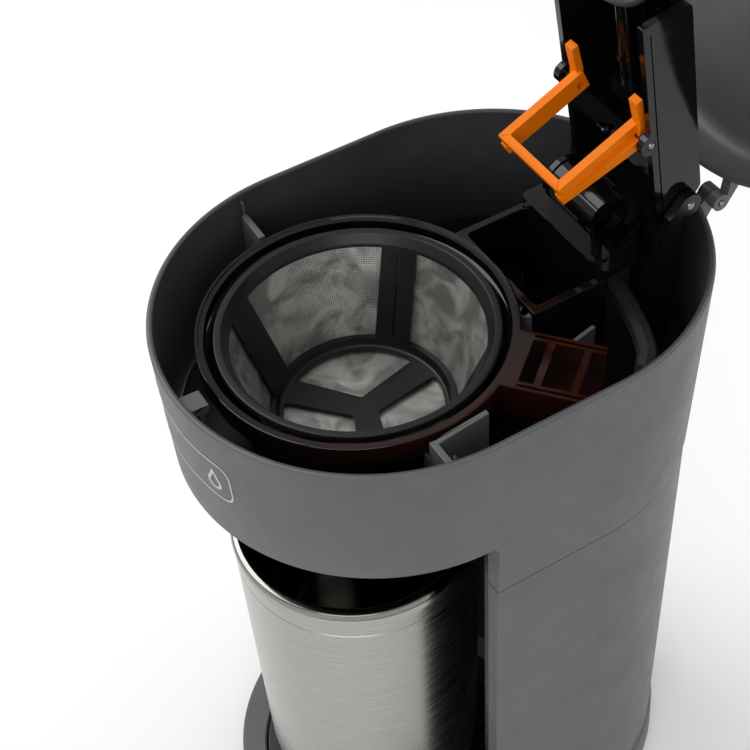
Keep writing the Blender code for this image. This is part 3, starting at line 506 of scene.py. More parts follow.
def make_head():
    low, middle = SEAM_Z + 0.3, LIP_Z - 2
    crown = sector((TOP_RADIUS - 0.95, RIM_Z - 0.95), 0.95, 0, 90, 6)
    shell = plan_solid("head_shell", [(plan_radius(low) - 0.3, low), (plan_radius(low), low + 0.3),
                                      *crown])
    inner = TOP_RADIUS - WALL
    flare = sector((inner + 0.75, RIM_Z - 0.7), 0.75, 180, 100, 5)
    hollow = plan_solid("hollow", [(plan_radius(middle) - WALL, middle), *flare,
                                   (inner + 0.75, RIM_Z + 4)])
    low_hollow = plan_solid("low_hollow", [(SEAM_RADIUS - WALL, low - 8),
                                           (SEAM_RADIUS - WALL, middle + 0.5)])
    keep(low_hollow, block("rear", (-90, TOWER_FRONT_Y + WALL, 150), (90, 120, 240)))
    bay = extrude("bay", fillet([(-110, 150, 0), (TOWER_FRONT_Y, 150, 0),
                                 (TOWER_FRONT_Y, LIP_Z, 4.5), (-110, LIP_Z, 0)], 0, 8),
                  -90, 90, "X")
    niche = rod("niche", NICHE_RADIUS, (0, BREW_Y, 180), (0, BREW_Y, middle), ROUND_STEPS)
    cut(shell, hollow, low_hollow, bay, niche)
    for side in (-1, 1):
        join(shell, hinge_lug(f"lug_{side}", side))
    cut(shell, rod("bore", 1.3, (-30, *LID_HINGE.yz), (30, *LID_HINGE.yz), 32))
    piece(shell, grey, "housing", "upper_housing", smooth=30)
    # Inner faces above the lip take the darker grey: painted shade inside the head.
    shell.data.materials.append(painted_shade_grey["material"])
    for face in shell.data.polygons:
        x, y, z = (face.center - Vector((0, PLAN_Y, 0))) / MM
        spine_y = max(-PLAN_HALF, min(PLAN_HALF, y))
        inward = face.normal.x * x + face.normal.y * (y - spine_y) < 0
        face.material_index = int(inward and z > LIP_Z)


def hinge_lug(name, side):
    """One fixed lug of the lid's hinge, on the rear wall of the head."""
    root = PLAN_HALF + TOP_RADIUS - 3.2
    y, z = LID_HINGE.yz
    outline = [(root, z - 10), (y - 2.6, z - 10), *sector((y, z), 3.0, -60, 170, 24),
               (root, z - 4)]
    x0, x1 = sorted((side * 14.0, side * 18.0))
    return extrude(name, outline, x0, x1, "X")


def make_tower():
    low, high = TOWER_LOW_Z, SEAM_Z - 0.3
    outer = SEAM_RADIUS - 0.4
    shell = plan_solid("tower_panel", [(outer, low), (outer, high - 0.4), (outer - 0.4, high)])
    hollow = plan_solid("hollow", [(outer - WALL, low - 5), (outer - WALL, high + 5)])
    keep(hollow, block("rear", (-90, TOWER_FRONT_Y + WALL, 0), (90, 120, 240)))
    front = block("front", (-90, -110, 0), (90, TOWER_FRONT_Y, 240))
    niche = rod("niche", NICHE_RADIUS, (0, BREW_Y, 0), (0, BREW_Y, 240), ROUND_STEPS)
    gland = span("cord_gland")
    inlet = rod("inlet", 6.4, (0, 60, (gland[0].z + gland[1].z) / 2),
                (0, 110, (gland[0].z + gland[1].z) / 2))
    vents = [block(f"vent_{row}_{side}", (min(side * 7, side * 24), 70, 58 + row * 5),
                   (max(side * 7, side * 24), 110, 60 + row * 5)) for row in range(5)
             for side in (-1, 1)]
    cut(shell, hollow, front, niche, inlet, *vents)
    piece(shell, grey, "housing", "tower_shell", smooth=30)


def make_bay_lining():
    low, high = span("bay_liner")
    outer = NICHE_RADIUS - 0.3
    profile = fillet([(outer, low.z), (outer, high.z), (outer - 2, high.z), (outer - 2, low.z)], 0.4)
    lining = turned("bay_lining", profile, (0, BREW_Y), steps=ROUND_STEPS)
    cut(lining, block("front", (-90, -130, 0), (90, TOWER_FRONT_Y + 0.2, 250)))
    piece(lining, black, "housing", "bay_liner")


def make_deck():
    low, high = span("inner_deck")
    well, floor = 36.2, low.z
    edge = high.x
    deck = plan_solid("head_floor", [(edge, high.z - 2), (edge, high.z - 0.4), (edge - 0.4, high.z)])
    cup = turned("cup", [(0, floor), (well + 2, floor), (well + 2, high.z - 1), (0, high.z - 1)],
                 (0, BREW_Y))
    join(deck, cup)
    hollow = turned("hollow", [(0, floor + 2), (well - 1, floor + 2), (well, floor + 3),
                               (well, high.z - 0.8), (well + 0.8, high.z + 0.1), (0, high.z + 0.1)],
                    (0, BREW_Y))
    neck = block("neck", (-12.5, 37, 200), (12.5, 47.5, 230), 1.5)
    cut(deck, hollow, rod("nozzle", 13, (0, BREW_Y, 190), (0, BREW_Y, 230)), neck,
        rod("riser", 5, (43.5, 48, 200), (43.5, 48, 230)))
    piece(deck, black, "housing", "inner_deck")


def make_supports():
    """Ribs on the side walls, stepped down under the basket's ring."""
    deck = DECK_TOP_Z + 0.3
    for side, word in ((-1, "left"), (1, "right")):
        wall = plan_radius(deck) - WALL - 1.3
        outline = [(46.6, deck), (wall, deck), (wall, 256.3), (49.9, 256.3), (49.9, 249.0),
                   (46.6, 249.0)]
        y0 = BREW_Y - 6.4
        rib = extrude(f"basket_rest_{word}", [(side * x, z) for x, z in outline], y0, y0 + 2.2, "Y")
        x0, x1 = sorted((side * (wall - 1.0), side * (wall + 0.3)))
        guide = block("guide", (x0, y0 + 0.7, 240), (x1, y0 + 1.4, 262.0), 0.2)
        join(rib, guide)
        if side > 0:
            join(rib, extrude("web", [(49.9, y0 + 1), (48.3, y0 + 20), (50.1, y0 + 20),
                                      (51.9, y0 + 1)], deck, 256.3))
        piece(rib, grey, "housing", f"basket_support_{word}", edge=0.35)


def make_arm_rest():
    """A grey rib under the basket's arm."""
    deck = DECK_TOP_Z + 0.2
    rib = extrude("arm_rest", [(33.6, 16.6), (34.8, 17.2), (30.4, 38.6), (29.0, 38.2)], deck, 244.6)
    piece(rib, grey, "housing", edge=0.25)


def make_seat():
    """The low wall between the basket and the tank mouth, with a holed ear at each end."""
    deck, rear = DECK_TOP_Z + 0.3, NECK_LOW.y - 0.4
    wall = block("seat_wall", (-17, rear - 1.6, deck), (17, rear, 248.6))
    for side in (-1, 1):
        ear = sector((side * 18.9, rear), 2.7, 180, 360, 28)
        join(wall, extrude(f"ear_{side}", ear, deck, 251.5))
        cut(wall, rod("hole", 1.05, (side * 18.9, rear - 1.35, 240),
                      (side * 18.9, rear - 1.35, 260), 24))
        join(wall, block(f"brace_{side}", (side * 8 - 0.6, rear - 3.4, deck),
                         (side * 8 + 0.6, rear - 1, 244.5), 0.4))
    piece(wall, grey, "housing", "seat_bracket", edge=0.3)


def make_catch():
    """The front tab that keys the basket's flat."""
    deck, y = DECK_TOP_Z + 0.3, BREW_Y - 54.5
    plate = block("basket_catch", (-3.4, y, deck), (3.4, y + 1.8, 256), 0.4)
    tab = extrude("tab", fillet([(y - 3.1, 254.0), (y + 3.5, 253.2), (y + 3.5, 256.0),
                                 (y - 3.1, 256.4)], 0.4), -3.4, 3.4, "X")
    join(plate, tab, block("rib", (-1, y - 3.1, deck), (1, y + 1, 255)))
    piece(plate, grey, "housing", "front_catch", edge=0.25)


def make_mark():
    """A generic badge printed on the front of the head: a rounded outline round a plain drop."""
    def on_wall(point):
        x, z = point
        radius = plan_radius(z) + 0.12
        return world(radius * math.sin(x / radius), -PLAN_HALF - radius * math.cos(x / radius), z)

    def strip(bm, inner, outer):
        rows = [[bm.verts.new(on_wall(point)) for point in outline] for outline in (inner, outer)]
        for i in range(len(rows[0])):
            bm.faces.new((rows[0][i - 1], rows[0][i], rows[1][i], rows[1][i - 1]))

    def badge(grow):
        """The badge's outline, its long sides split so that they follow the curved wall."""
        half, low, high = 24.5 + grow, 234.0 - grow, 250.0 + grow
        outline = rectangle(-half, half, low, high, 5 + grow, 8)
        split = []
        for index, (a, c) in enumerate(outline):
            b, d = outline[(index + 1) % len(outline)]
            steps = max(1, round(math.hypot(b - a, d - c) / 2))
            split += [(a + (b - a) * k / steps, c + (d - c) * k / steps) for k in range(steps)]
        return split

    def drop(scale):
        """A teardrop, round below and pointed above."""
        body = [(x + 17.4, z + 240.4) for x, z in sector((0, 0), 2.9 * scale, -225, 45, 30)]
        return body + [(17.4, 240.4 + 6.4 * scale)]

    outer = badge(0.0)
    middle = Vector((0, 242))
    inner = [tuple(middle + Vector((dx * (23.9 / 24.5), dz * (7.4 / 8.0))))
             for dx, dz in (Vector(point) - middle for point in outer)]
    bm = bmesh.new()
    strip(bm, inner, outer)
    strip(bm, drop(0.62), drop(1.0))
    mark = to_object(bm, "front_mark")
    solid = mark.modifiers.new("thickness", "SOLIDIFY")
    solid.thickness = 0.10 * MM
    solid.offset = 0
    piece(mark, mark_ink, "housing")


# ---------------------------------------------------------------- base

def make_base():
    low, high, edge = BASE_LOW.z, BASE_HIGH.z, BASE_HIGH.x
    shell = plan_solid("base_moulding", [(edge - 0.8, low), (edge, low + 0.8), (edge - 0.5, high - 1.6),
                                         (edge - 0.9, high - 0.6), (edge - 1.8, high)])
    hollow = plan_solid("hollow", [(edge - WALL - 0.6, low - 5), (edge - WALL - 0.6, high - 2)])
    cut(shell, hollow)
    join(shell, rod("pocket_wall", 52.6, (0, BREW_Y, 8), (0, BREW_Y, high - 0.5), ROUND_STEPS))
    pocket = turned("pocket", [(0, 10), (50.6, 10), (50.6, high - 0.6), (51.3, high + 0.1),
                               (51.3, 40), (0, 40)], (0, BREW_Y))
    service = extrude("service", rectangle(-44, 44, 38, 66, 8), 10, 40)
    button = span("power_button")
    middle = (0, (button[0].y + button[1].y) / 2, (button[0].z + button[1].z) / 2)
    hole = rod("button_hole", 8.3, (46, *middle[1:]), (75, *middle[1:]))
    cut(shell, pocket, service, hole)
    piece(shell, grey, "housing", "base_shell", smooth=30)

    plate_low, plate_high = span("base_plate")
    plate = plan_solid("base_cover", [(plate_high.x - 0.5, plate_low.z), (plate_high.x, plate_low.z + 0.5),
                                      (plate_high.x, plate_high.z)])
    holes = [rod(f"hole_{sx}_{sy}", 1.8, (sx * 44.5, sy * 58, 0), (sx * 44.5, sy * 58, 12), 24)
             for sx in (-1, 1) for sy in (-1, 1)]
    slots = [block(f"slot_{i}", (-14, 20 + i * 6, 0), (14, 22.4 + i * 6, 12), 1.1) for i in range(5)]
    cut(plate, *holes, *slots)
    piece(plate, black, "housing", "base_plate")


def make_feet_and_screws():
    for index in range(1, 5):
        low, high = span(f"rubber_foot_{index}")
        centre = ((low.x + high.x) / 2, (low.y + high.y) / 2)
        radius = (high.x - low.x) / 2
        profile = fillet([(0, low.z, 0), (radius - 0.8, low.z, 0.6), (radius, high.z, 0.1),
                          (0, high.z, 0)], 0.2)
        foot = turned(f"foot_{index}", profile, centre, steps=64)
        cut(foot, turned("dimple", [(0, low.z - 1), (2.4, low.z - 1), (2.0, low.z + 0.7),
                                    (0, low.z + 0.7)], centre, steps=32))
        piece(foot, rubber, "housing", f"rubber_foot_{index}")

        low, high = span(f"base_screw_{index}")
        centre = ((low.x + high.x) / 2, (low.y + high.y) / 2)
        head = turned(f"screw_{index}", [(0, high.z), (1.4, high.z - 0.6), (1.4, low.z + 1.4),
                                         (3.2, low.z + 1.4), (3.2, low.z + 0.5), (2.5, low.z),
                                         (0, low.z)], centre, steps=32)
        cut(head, *[block(f"drive_{k}", (centre[0] - a, centre[1] - b, low.z - 1),
                          (centre[0] + a, centre[1] + b, low.z + 0.8))
                    for k, (a, b) in enumerate(((1.6, 0.35), (0.35, 1.6)))])
        piece(head, polished_shaded_steel, "housing", f"base_screw_{index}")


def make_tray():
    low, high = span("drip_tray")
    radius = high.x
    profile = fillet([(radius, high.z), (radius, low.z, 1.2), (0, low.z, 0), (0, low.z + 1.6, 0),
                      (radius - 2.7, low.z + 1.6, 1.5), (radius - 1.8, high.z)], 0.4)
    piece(turned("drip_dish", profile, (0, BREW_Y)), black, "tray", "drip_tray")

    low, high = span("drip_grate")
    profile = fillet([(0, high.z, 0), (0, low.z, 0), (high.x, low.z), (high.x, high.z, 0.8)], 0.3)
    grate = turned("drip_cover", profile, (0, BREW_Y))
    under = rod("under", high.x - 2.0, (0, BREW_Y, 5), (0, BREW_Y, high.z - 1.4), ROUND_STEPS)
    slots = []
    for index in range(-4, 5):
        x = index * 9.0
        reach = math.sqrt(44.0 ** 2 - x ** 2)
        slots.append(block(f"slot_{index}", (x - 1.6, BREW_Y - reach, 10),
                           (x + 1.6, BREW_Y + reach, 30), 1.55))
    cut(grate, under, *slots)
    piece(grate, black, "grate", "drip_grate", edge=0.25)


def make_controls():
    for node, name, material, body in (("button_bezel", "button_ring", black, "housing"),
                                       ("power_button", "button_cap", grey, "button"),
                                       ("indicator_lens", "button_light", lens, "button"),
                                       ("cord_gland", "cord_bush", black, "housing")):
        low, high = span(node)
        axis = "X" if node != "cord_gland" else "Y"
        y, z = (low.y + high.y) / 2, (low.z + high.z) / 2
        radius = (high.z - low.z) / 2
        inner = {"button_bezel": 6.2, "cord_gland": 3.6, "power_button": 1.9}.get(node, 0.0)
        start, end = (low.x, high.x) if axis == "X" else (low.y, high.y)
        profile = [(inner, start, 0), (radius, start, 0.2), (radius, end, 0.7), (inner, end, 0.4)]
        if node == "cord_gland":
            profile = [(3.6, start, 0), (6.0, start, 0.3), (6.0, end - 2.2, 0), (radius, end - 2.2, 0.2),
                       (radius - 0.4, end, 0.8), (3.6, end, 0.6)]
        if node == "power_button":
            profile = [(0, start, 0), (radius, start, 0.2), (radius, end - 0.3, 0.9),
                       (1.9, end - 0.7, 0.1), (1.9, end - 1.3, 0), (0, end - 1.3, 0)]
        bm_obj = turned(name, fillet(profile, 0.3, 5), steps=64)
        if axis == "X":
            turn = Matrix.Rotation(math.radians(90), 4, "Y")
            place = Matrix.Translation(world(0, y, z))
        else:
            turn = Matrix.Rotation(math.radians(-90), 4, "X")
            place = Matrix.Translation(world(0, 0, z))
        bm_obj.data.transform(place @ turn @ Matrix.Translation(world(0, 0, 0)).inverted())
        piece(bm_obj, material, body, node)


# ---------------------------------------------------------------- water path

def make_neck():
    """The tank's mouth, a deep frame with a drain into the tank."""
    deck, top, bar = DECK_TOP_Z + 0.3, NECK_HIGH.z, 3.2
    x, y0, y1 = NECK_HIGH.x, NECK_LOW.y, NECK_HIGH.y
    neck = block("tank_mouth", (-x, y0, deck), (x, y1, top), 0.8)
    spigot = block("spigot", (-11.4, 37.9, NECK_LOW.z), (11.4, 46.6, deck + 1), 1)
    join(neck, spigot)
    well = extrude("well", rectangle(-x + bar, x - bar, y0 + bar, y1 - bar, 1.6), deck + 2, top + 5,
                   top=rectangle(-x + bar - 0.7, x - bar + 0.7, y0 + bar - 0.7, y1 - bar + 0.7, 2))
    drain = block("drain", (-9.8, 39.5, 200), (9.8, 45.0, deck + 6), 1)
    notch = block("notch", (1.6, y0 - 1, top - 1.0), (4.8, y0 + bar + 1, top + 3))
    cut(neck, well, drain, notch)
    piece(neck, smoke, "housing", "fill_neck", edge=0.3)


def make_outlet():
    """The outlet behind the mouth: a stepped flange, a barrel across it and its legs."""
    low, high = span("spout_block")
    deck, face = DECK_TOP_Z + 0.3, 256.0
    y0, y1 = low.y, high.y
    flange = extrude("water_outlet", rectangle(-22, 22, y0, y1, 3.2, 6), face - 3, face)
    step = extrude("step", rectangle(-18, 18, y0 + 1.6, y1 - 1.5, 3, 6), face - 1, face + 0.9)
    riser = extrude("riser", rectangle(-15, 14, y0 + 3.0, y1 - 2.5, 2.5, 6), face, face + 2.4)
    barrel_z, barrel_y, barrel = 266.6, 55.4, 7.2
    foot = block("foot", (-11.9, barrel_y - 5.6, face - 1), (11.8, barrel_y + 5.8, barrel_z), 1)
    drum = extrude("drum", circle(barrel, (barrel_y, barrel_z), 64), -12.2, 12.2, "X")
    cap = extrude("cap", circle(barrel + 0.6, (barrel_y, barrel_z), 64), -11.6, -9.9, "X")
    second = block("second", (15.0, y0 + 4.3, face - 0.5), (20.4, y0 + 13.0, face + 4.8), 1)
    peg = rod("peg", 1.9, (17.1, 61.4, face - 1), (17.1, 61.4, face + 8.5), 32)
    legs = [block(f"leg_{side}", (side * 15 - 1.2, 50.2, deck), (side * 15 + 1.2, 53.4, face - 2))
            for side in (-1, 1)]
    port = rod("port", 5.2, (8, 58, 244), (8, 58, face - 2))
    join(flange, step, riser, foot, drum, cap, second, peg, *legs, port)
    cut(flange, extrude("end_recess", circle(barrel - 1.7, (barrel_y, barrel_z), 64), 10.6, 14, "X"),
        extrude("groove", circle(barrel + 2, (barrel_y, barrel_z), 64), 13, 14, "X"),
        rod("riser_bore", 2.6, (8, 58, 240), (8, 58, 262)),
        rod("front_bore", 2.6, (8, 40, 263.5), (8, 58, 263.5)),
        rod("block_hole", 1.3, (17.7, y0 + 8.2, face + 2), (17.7, y0 + 8.2, face + 9), 24))
    piece(flange, smoke, "housing", "spout_block", smooth=28)


def make_post():
    """The post that carries the arm, an open channel in front with a hinge ear on each side."""
    deck, (y, z) = DECK_TOP_Z + 0.3, HINGE.yz
    half = CHANNEL_HALF
    post = extrude("arm_post", [(67.7, 259), (73.0, 259), (73.0, deck), (69.6, deck)], -half, half, "X")
    recess = block("recess", (-half + 2.4, 60, deck + 4), (half - 2.4, 71.4, 270), 0.6, "Y")
    cut(post, recess)
    ear = [(68.0, deck), (72.8, deck), (72.8, 265.6), *sector((y, z), 4.0, -120, 150, 28),
           (68.0, 268.6)]
    for side in (-1, 1):
        x0, x1 = sorted((side * (half + 0.6), side * (half + 3.6)))
        w0, w1 = sorted((side * (half - 0.7), side * (half + 1.8)))
        join(post, extrude(f"ear_{side}", ear, x0, x1, "X"),
             block(f"web_{side}", (w0, 70.6, deck + 1), (w1, 72.2, 252)))
    ribs = [block(f"rib_{side}", (side * 7 - 0.7, 69.5, deck + 5), (side * 7 + 0.7, 72, 258))
            for side in (-1, 1)]
    join(post, *ribs)
    cut(post, rod("bore", 1.65, (-40, y, z), (40, y, z), 32))
    piece(post, black, "housing", "hinge_post", smooth=30)


# ---------------------------------------------------------------- water arm, seal and lid

def make_arm():
    """The smoked water arm, open below, drawn closed and then swung open."""
    face, ceiling = 261.1, 277.6
    front, rear, half = 3.5, 80.5, CHANNEL_HALF
    outline = fillet([(front, face, 0.5), (front, ceiling, 2.2), (rear - 7, ceiling, 2.5),
                      (rear, ceiling - 6.1, 1.5), (rear, face, 0.8)], 0.5, 5)
    channel = extrude("water_arm", outline, -half, half, "X")
    inside = ceiling - 1.6
    cut(channel, extrude("hollow", [(front - 5, face - 5), (front - 5, inside), (rear - 7.8, inside),
                                    (rear - 1.6, inside - 5.4), (rear - 1.6, face - 5)],
                         -half + 2.4, half - 2.4, "X"))
    ribs = [block(f"rib_{x}", (x - 0.7, front + 1, ceiling - depth), (x + 0.7, rear - 11, ceiling - 1))
            for x, depth in ((-9, 2.7), (-2.5, 2.3), (3.5, 2.3), (9, 2.7))]
    bars = [block(f"bar_{y}", (-half + 1, y, ceiling - 3.6), (half - 1, y + 1.2, ceiling - 1))
            for y in (10, 27)]
    seal_y, seal_z = closed_seal_pivot()
    lugs = [rod(f"lug_{side}", 3.6, (side * (half - 2.4), seal_y, seal_z),
                (side * half, seal_y, seal_z)) for side in (-1, 1)]
    join(channel, *ribs, *bars, *lugs)
    lips = [block(f"lip_{side}", (side * half - 0.35, front + 3, face + 1.6),
                  (side * half + 0.35, rear - 4, face + 2.6)) for side in (-1, 1)]
    cut(channel, rod("hinge_bore", 1.8, (-30, HINGE.y, HINGE.z), (30, HINGE.y, HINGE.z), 32),
        rod("seal_bore", 1.5, (-30, seal_y, seal_z), (30, seal_y, seal_z), 32), *lips)
    swing(channel, HINGE, ARM_OPEN)
    piece(channel, smoke, "arm", "arm_channel", smooth=28)


def closed_seal_pivot():
    """Where the seal frame's pivot lies when the arm is down."""
    offset = Matrix.Rotation(-ARM_OPEN, 3, "X") @ (SEAL - HINGE)
    return (HINGE + offset).yz


def make_shower():
    top, low = 277.4, 260.6
    profile = fillet([(0, top, 0), (4.4, top, 0.5), (4.4, 265.6, 1.0), (26, 264.6, 2.0),
                      (30, 262.4, 0.8), (30, low, 0.4), (28.4, low, 0.3), (27.6, low + 0.5, 0.3),
                      (0, low + 0.4, 0)], 0.5, 4)
    head = turned("shower_plate", profile, (0, BREW_Y))
    holes = []
    for count, radius in ((6, 8.0), (12, 15.5), (16, 23.0)):
        for index in range(count):
            a = TURN * (index + 0.5 * (count == 12)) / count
            x, y = radius * math.cos(a), BREW_Y + radius * math.sin(a)
            holes.append(rod(f"hole_{count}_{index}", 0.9, (x, y, 255), (x, y, 263.4), 12))
    cut(head, *holes)
    swing(head, HINGE, ARM_OPEN)
    piece(head, black, "arm", "shower_head", smooth=30)

    pipe = rod("water_pipe", 3.0, (0, 44, 270.5), (0, BREW_Y + 4.8, 270.5))
    cup = block("cup", (-5, 40.5, 266.5), (11, 46.5, 274), 1.2, "Y")
    collars = [rod(f"collar_{y}", 3.7, (0, y, 270.5), (0, y + 2, 270.5)) for y in (30, -8)]
    join(pipe, cup, *collars)
    cut(pipe, rod("bore", 1.8, (0, 43, 270.5), (0, BREW_Y, 270.5)),
        block("hollow", (-3.6, 42, 267.8), (9.6, 50, 272.6), 0.8, "Y"))
    swing(pipe, HINGE, ARM_OPEN)
    piece(pipe, smoke, "arm", "arm_water_tube", smooth=30)


def make_seal():
    """The orange frame, open at the rear, drawn level at its pivot and then tilted."""
    inner, outer, front = 12.4, 15.4, -29.6
    top, low, ledge = 4.2, -2.5, 0.6
    y0, z0 = SEAL.yz

    def bar(name, points, low_z, high_z):
        return extrude(name, [(x, y0 + y) for x, y in points], z0 + low_z, z0 + high_z)

    ring = bar("orange_frame", rectangle(-outer, outer, front + 0.9, 2.4, 0.8, 5), low, top)
    flange = bar("flange", [(-outer, front + 0.5), (outer, front + 0.5), (18.2, 2.0), (-18.2, 2.0)],
                 low, ledge)
    join(ring, flange)
    cut(ring, bar("inside", rectangle(-inner, inner, front + 3.65, 9, 0.5, 4), low - 2, top + 2),
        bar("under", rectangle(-inner, inner, front - 2, front + 5), low - 2, top - 2.2))
    for side in (-1, 1):
        x0, x1 = sorted((side * outer, side * 19))
        mitre = [(side * 12.1, front + 3.9), (side * 12.35, front + 3.65),
                 (side * 15.35, front + 0.6), (side * 15.1, front + 0.6)]
        cut(ring, bar(f"notch_{side}", rectangle(x0, x1, front - 1, front + 0.9), low - 1, top + 1),
            bar(f"mitre_{side}", mitre, top - 0.22, top + 1))
        x0, x1 = sorted((side * 13.6, side * 17.3))
        tab = [(y0 + y, z0 + z) for y, z in ((-1.0, 0.2), (2.0, 0.2), (3.4, 4.2), (5.0, 13.4),
                                             (2.6, 13.4), (0.9, 4.2))]
        join(ring, extrude(f"tab_{side}", tab, x0, x1, "X"))
    join(ring, bar("lip", rectangle(-outer + 0.6, outer - 0.6, front + 0.95, front + 1.5),
                   top - 1, top + 0.3))
    cut(ring, rod("bore", 1.3, (-30, y0, z0), (30, y0, z0), 24))
    swing(ring, SEAL, SEAL_TILT)
    piece(ring, orange, "seal", "seal_frame", edge=0.12)


def make_lid():
    """The cover, crowned, with stiffening ribs inside and two hinge knuckles."""
    skirt, top, edge = 264.4, 280.0, 7.0
    shoulder = sector((TOP_RADIUS - edge, top - edge), edge, 0, 84, 10)
    lid = plan_solid("lid_shell", [(TOP_RADIUS - 0.4, skirt), (TOP_RADIUS, skirt + 0.4), *shoulder,
                                   (42, top - 0.02), (10, top)])
    inner = sector((TOP_RADIUS - edge, top - edge), edge - WALL, 0, 90, 8)
    cut(lid, plan_solid("inside", [(TOP_RADIUS - WALL, skirt - 5), *inner, (10, top - WALL)]))
    root = PLAN_HALF + TOP_RADIUS - 4.0
    y, z = LID_HINGE.yz
    outline = [(root, 270.0), (root, skirt + 0.4), *sector((y, z), 3.0, 135, 405, 28)]
    for side in (-1, 1):
        x0, x1 = sorted((side * 18.4, side * 22.0))
        join(lid, extrude(f"knuckle_{side}", outline, x0, x1, "X"))
    ring = turned("stiffener", [(34.2, top - WALL + 0.4), (34.2, top - 3.4), (33.0, top - 3.4),
                                (33.0, top - WALL + 0.4)], (0, BREW_Y - 14))
    join(lid, ring)
    cut(lid, rod("bore", 1.3, (-30, y, z), (30, y, z), 32))
    swing(lid, LID_HINGE, LID_OPEN)
    piece(lid, grey, "lid", "lid_cover", smooth=30)


def make_pins():
    """Round the pins of the three hinges, with a slight chamfer at each end."""
    for node, body in (("hinge_pin", "housing"), ("lid_pin", "housing"), ("seal_pin", "seal")):
        for word in ("left", "right"):
            low, high = span(f"{node}_{word}")
            y, z = (low.y + high.y) / 2, (low.z + high.z) / 2
            radius = (high.z - low.z) / 2
            shaft = rod(f"{node}_{word}_turned", radius, (low.x + 0.3, y, z), (high.x - 0.3, y, z))
            ends = [rod("end", radius, (a, y, z), (b, y, z), 48, radius * 0.75)
                    for a, b in ((low.x + 0.4, low.x), (high.x - 0.4, high.x))]
            join(shaft, *ends)
            piece(shaft, polished_shaded_steel, body, f"{node}_{word}")


# ---------------------------------------------------------------- basket and filter

def along_arm(r, s):
    """A plan point r along the basket's arm from the brewing axis and s to its left."""
    c, d = math.cos(ARM_ANGLE), math.sin(ARM_ANGLE)
    return (c * r - d * s, BREW_Y + d * r + c * s)


def arm_slab(name, r0, r1, half, low, high, shift=0.0):
    outline = [along_arm(r0, shift - half), along_arm(r1, shift - half),
               along_arm(r1, shift + half), along_arm(r0, shift + half)]
    return extrude(name, outline, low, high)


def make_basket():
    top, ring_low, inner = BASKET_Z, BASKET_Z - 7.5, BASKET_RADIUS - 2.7
    profile = fillet([(BASKET_RADIUS, ring_low, 0.3), (45.4, ring_low, 0.3), (33.1, 213.5, 0.8),
                      (6.0, 213.5, 1.0), (5.4, 200.0, 0.3), (3.6, 200.0, 0.3), (3.6, 215.5, 0.8),
                      (31.0, 215.5, 1.5), (43.6, 252.5, 0.5), (inner, 253.5, 0.4),
                      (inner, top - 0.5, 0.3), (BASKET_RADIUS - 1.2, top - 0.5, 0.2),
                      (BASKET_RADIUS - 0.9, top, 0.2), (BASKET_RADIUS, top, 0.5)], 0.3, 3)
    basket = turned("basket_body", profile, (0, BREW_Y), steps=160)
    cut(basket, block("front_flat", (-45, BREW_Y - 75, 240), (45, BREW_Y - 47.9, 275)),
        block("rear_flat", (-45, NECK_LOW.y - 0.7, 240), (45, 60, 275)))
    join(basket, arm_slab("arm", inner + 0.8, 73.0, 11.5, top - 11.5, top))
    pockets = [arm_slab(f"pocket_{i}", r0, r1, 8.5, top - 9.5, top + 5)
               for i, (r0, r1) in enumerate(((51.5, 56.0), (58.2, 66.8), (69.0, 76.0)))]
    grooves = [arm_slab(f"groove_{side}", 51.5, 76, 0.45, top - 1.4, top + 3, side * 10.0)
               for side in (-1, 1)]
    cut(basket, *pockets, *grooves)
    piece(basket, smoke, "basket", "brew_basket", smooth=28)


def cone_radius(z):
    """Radius of the filter's inner skin at a height."""
    share = (FILTER_Z - z) / (FILTER_Z - FILTER_FOOT_Z)
    return FILTER_RADIUS - 1.0 + share * (FILTER_FOOT_RADIUS - FILTER_RADIUS + 1.0)


def make_filter():
    foot, skin = FILTER_FOOT_Z, 1.3
    low = foot + 1.0
    profile = fillet([(FILTER_RADIUS, FILTER_Z, 0.5), (FILTER_RADIUS, FILTER_Z - 2.4, 0.3),
                      (cone_radius(FILTER_Z - 2.4) - 0.8, FILTER_Z - 2.4, 0.2),
                      (cone_radius(low) - 0.8, low, 0.8), (0, low, 0), (0, foot + 2.4, 0),
                      (cone_radius(low) - skin - 0.8, foot + 2.4, 1.0),
                      (cone_radius(FILTER_Z - 3) - skin - 0.8, FILTER_Z - 3, 0.4),
                      (FILTER_RADIUS - 2.2, FILTER_Z, 0.5)], 0.4, 4)
    body = turned("filter_body", profile, (0, BREW_Y))
    windows = []
    for index in range(4):
        middle = ARM_ANGLE + math.pi / 4 + index * math.pi / 2
        start, end = math.degrees(middle) - 39.5, math.degrees(middle) + 39.5
        outline = [along_polar(8, middle), *sector((0, BREW_Y), 60, start, end, 12)]
        windows.append(extrude(f"window_{index}", outline, foot + 5, FILTER_Z - 4.0))
    seam = ARM_ANGLE + math.pi / 2
    windows.append(extrude("seam", [along_polar(20, seam - 0.012), along_polar(60, seam - 0.005),
                                    along_polar(60, seam + 0.005), along_polar(20, seam + 0.012)],
                           foot + 7, FILTER_Z - 6))
    for index in range(3):
        start = math.degrees(ARM_ANGLE) + 70 + index * 120
        tip = along_polar(4.5, math.radians(start + 50))
        rim = sector((0, BREW_Y), 25.4, start + 1, start + 99, 14)
        outline = fillet([(*tip, 1.5), (*rim[0], 2), *[(*p, 0) for p in rim[1:-1]], (*rim[-1], 2)], 0)
        windows.append(extrude(f"hole_{index}", outline, foot - 5, foot + 5))
    cut(body, *windows)
    piece(body, black, "filter", "filter_frame", smooth=30)


def along_polar(radius, angle):
    return (radius * math.cos(angle), BREW_Y + radius * math.sin(angle))


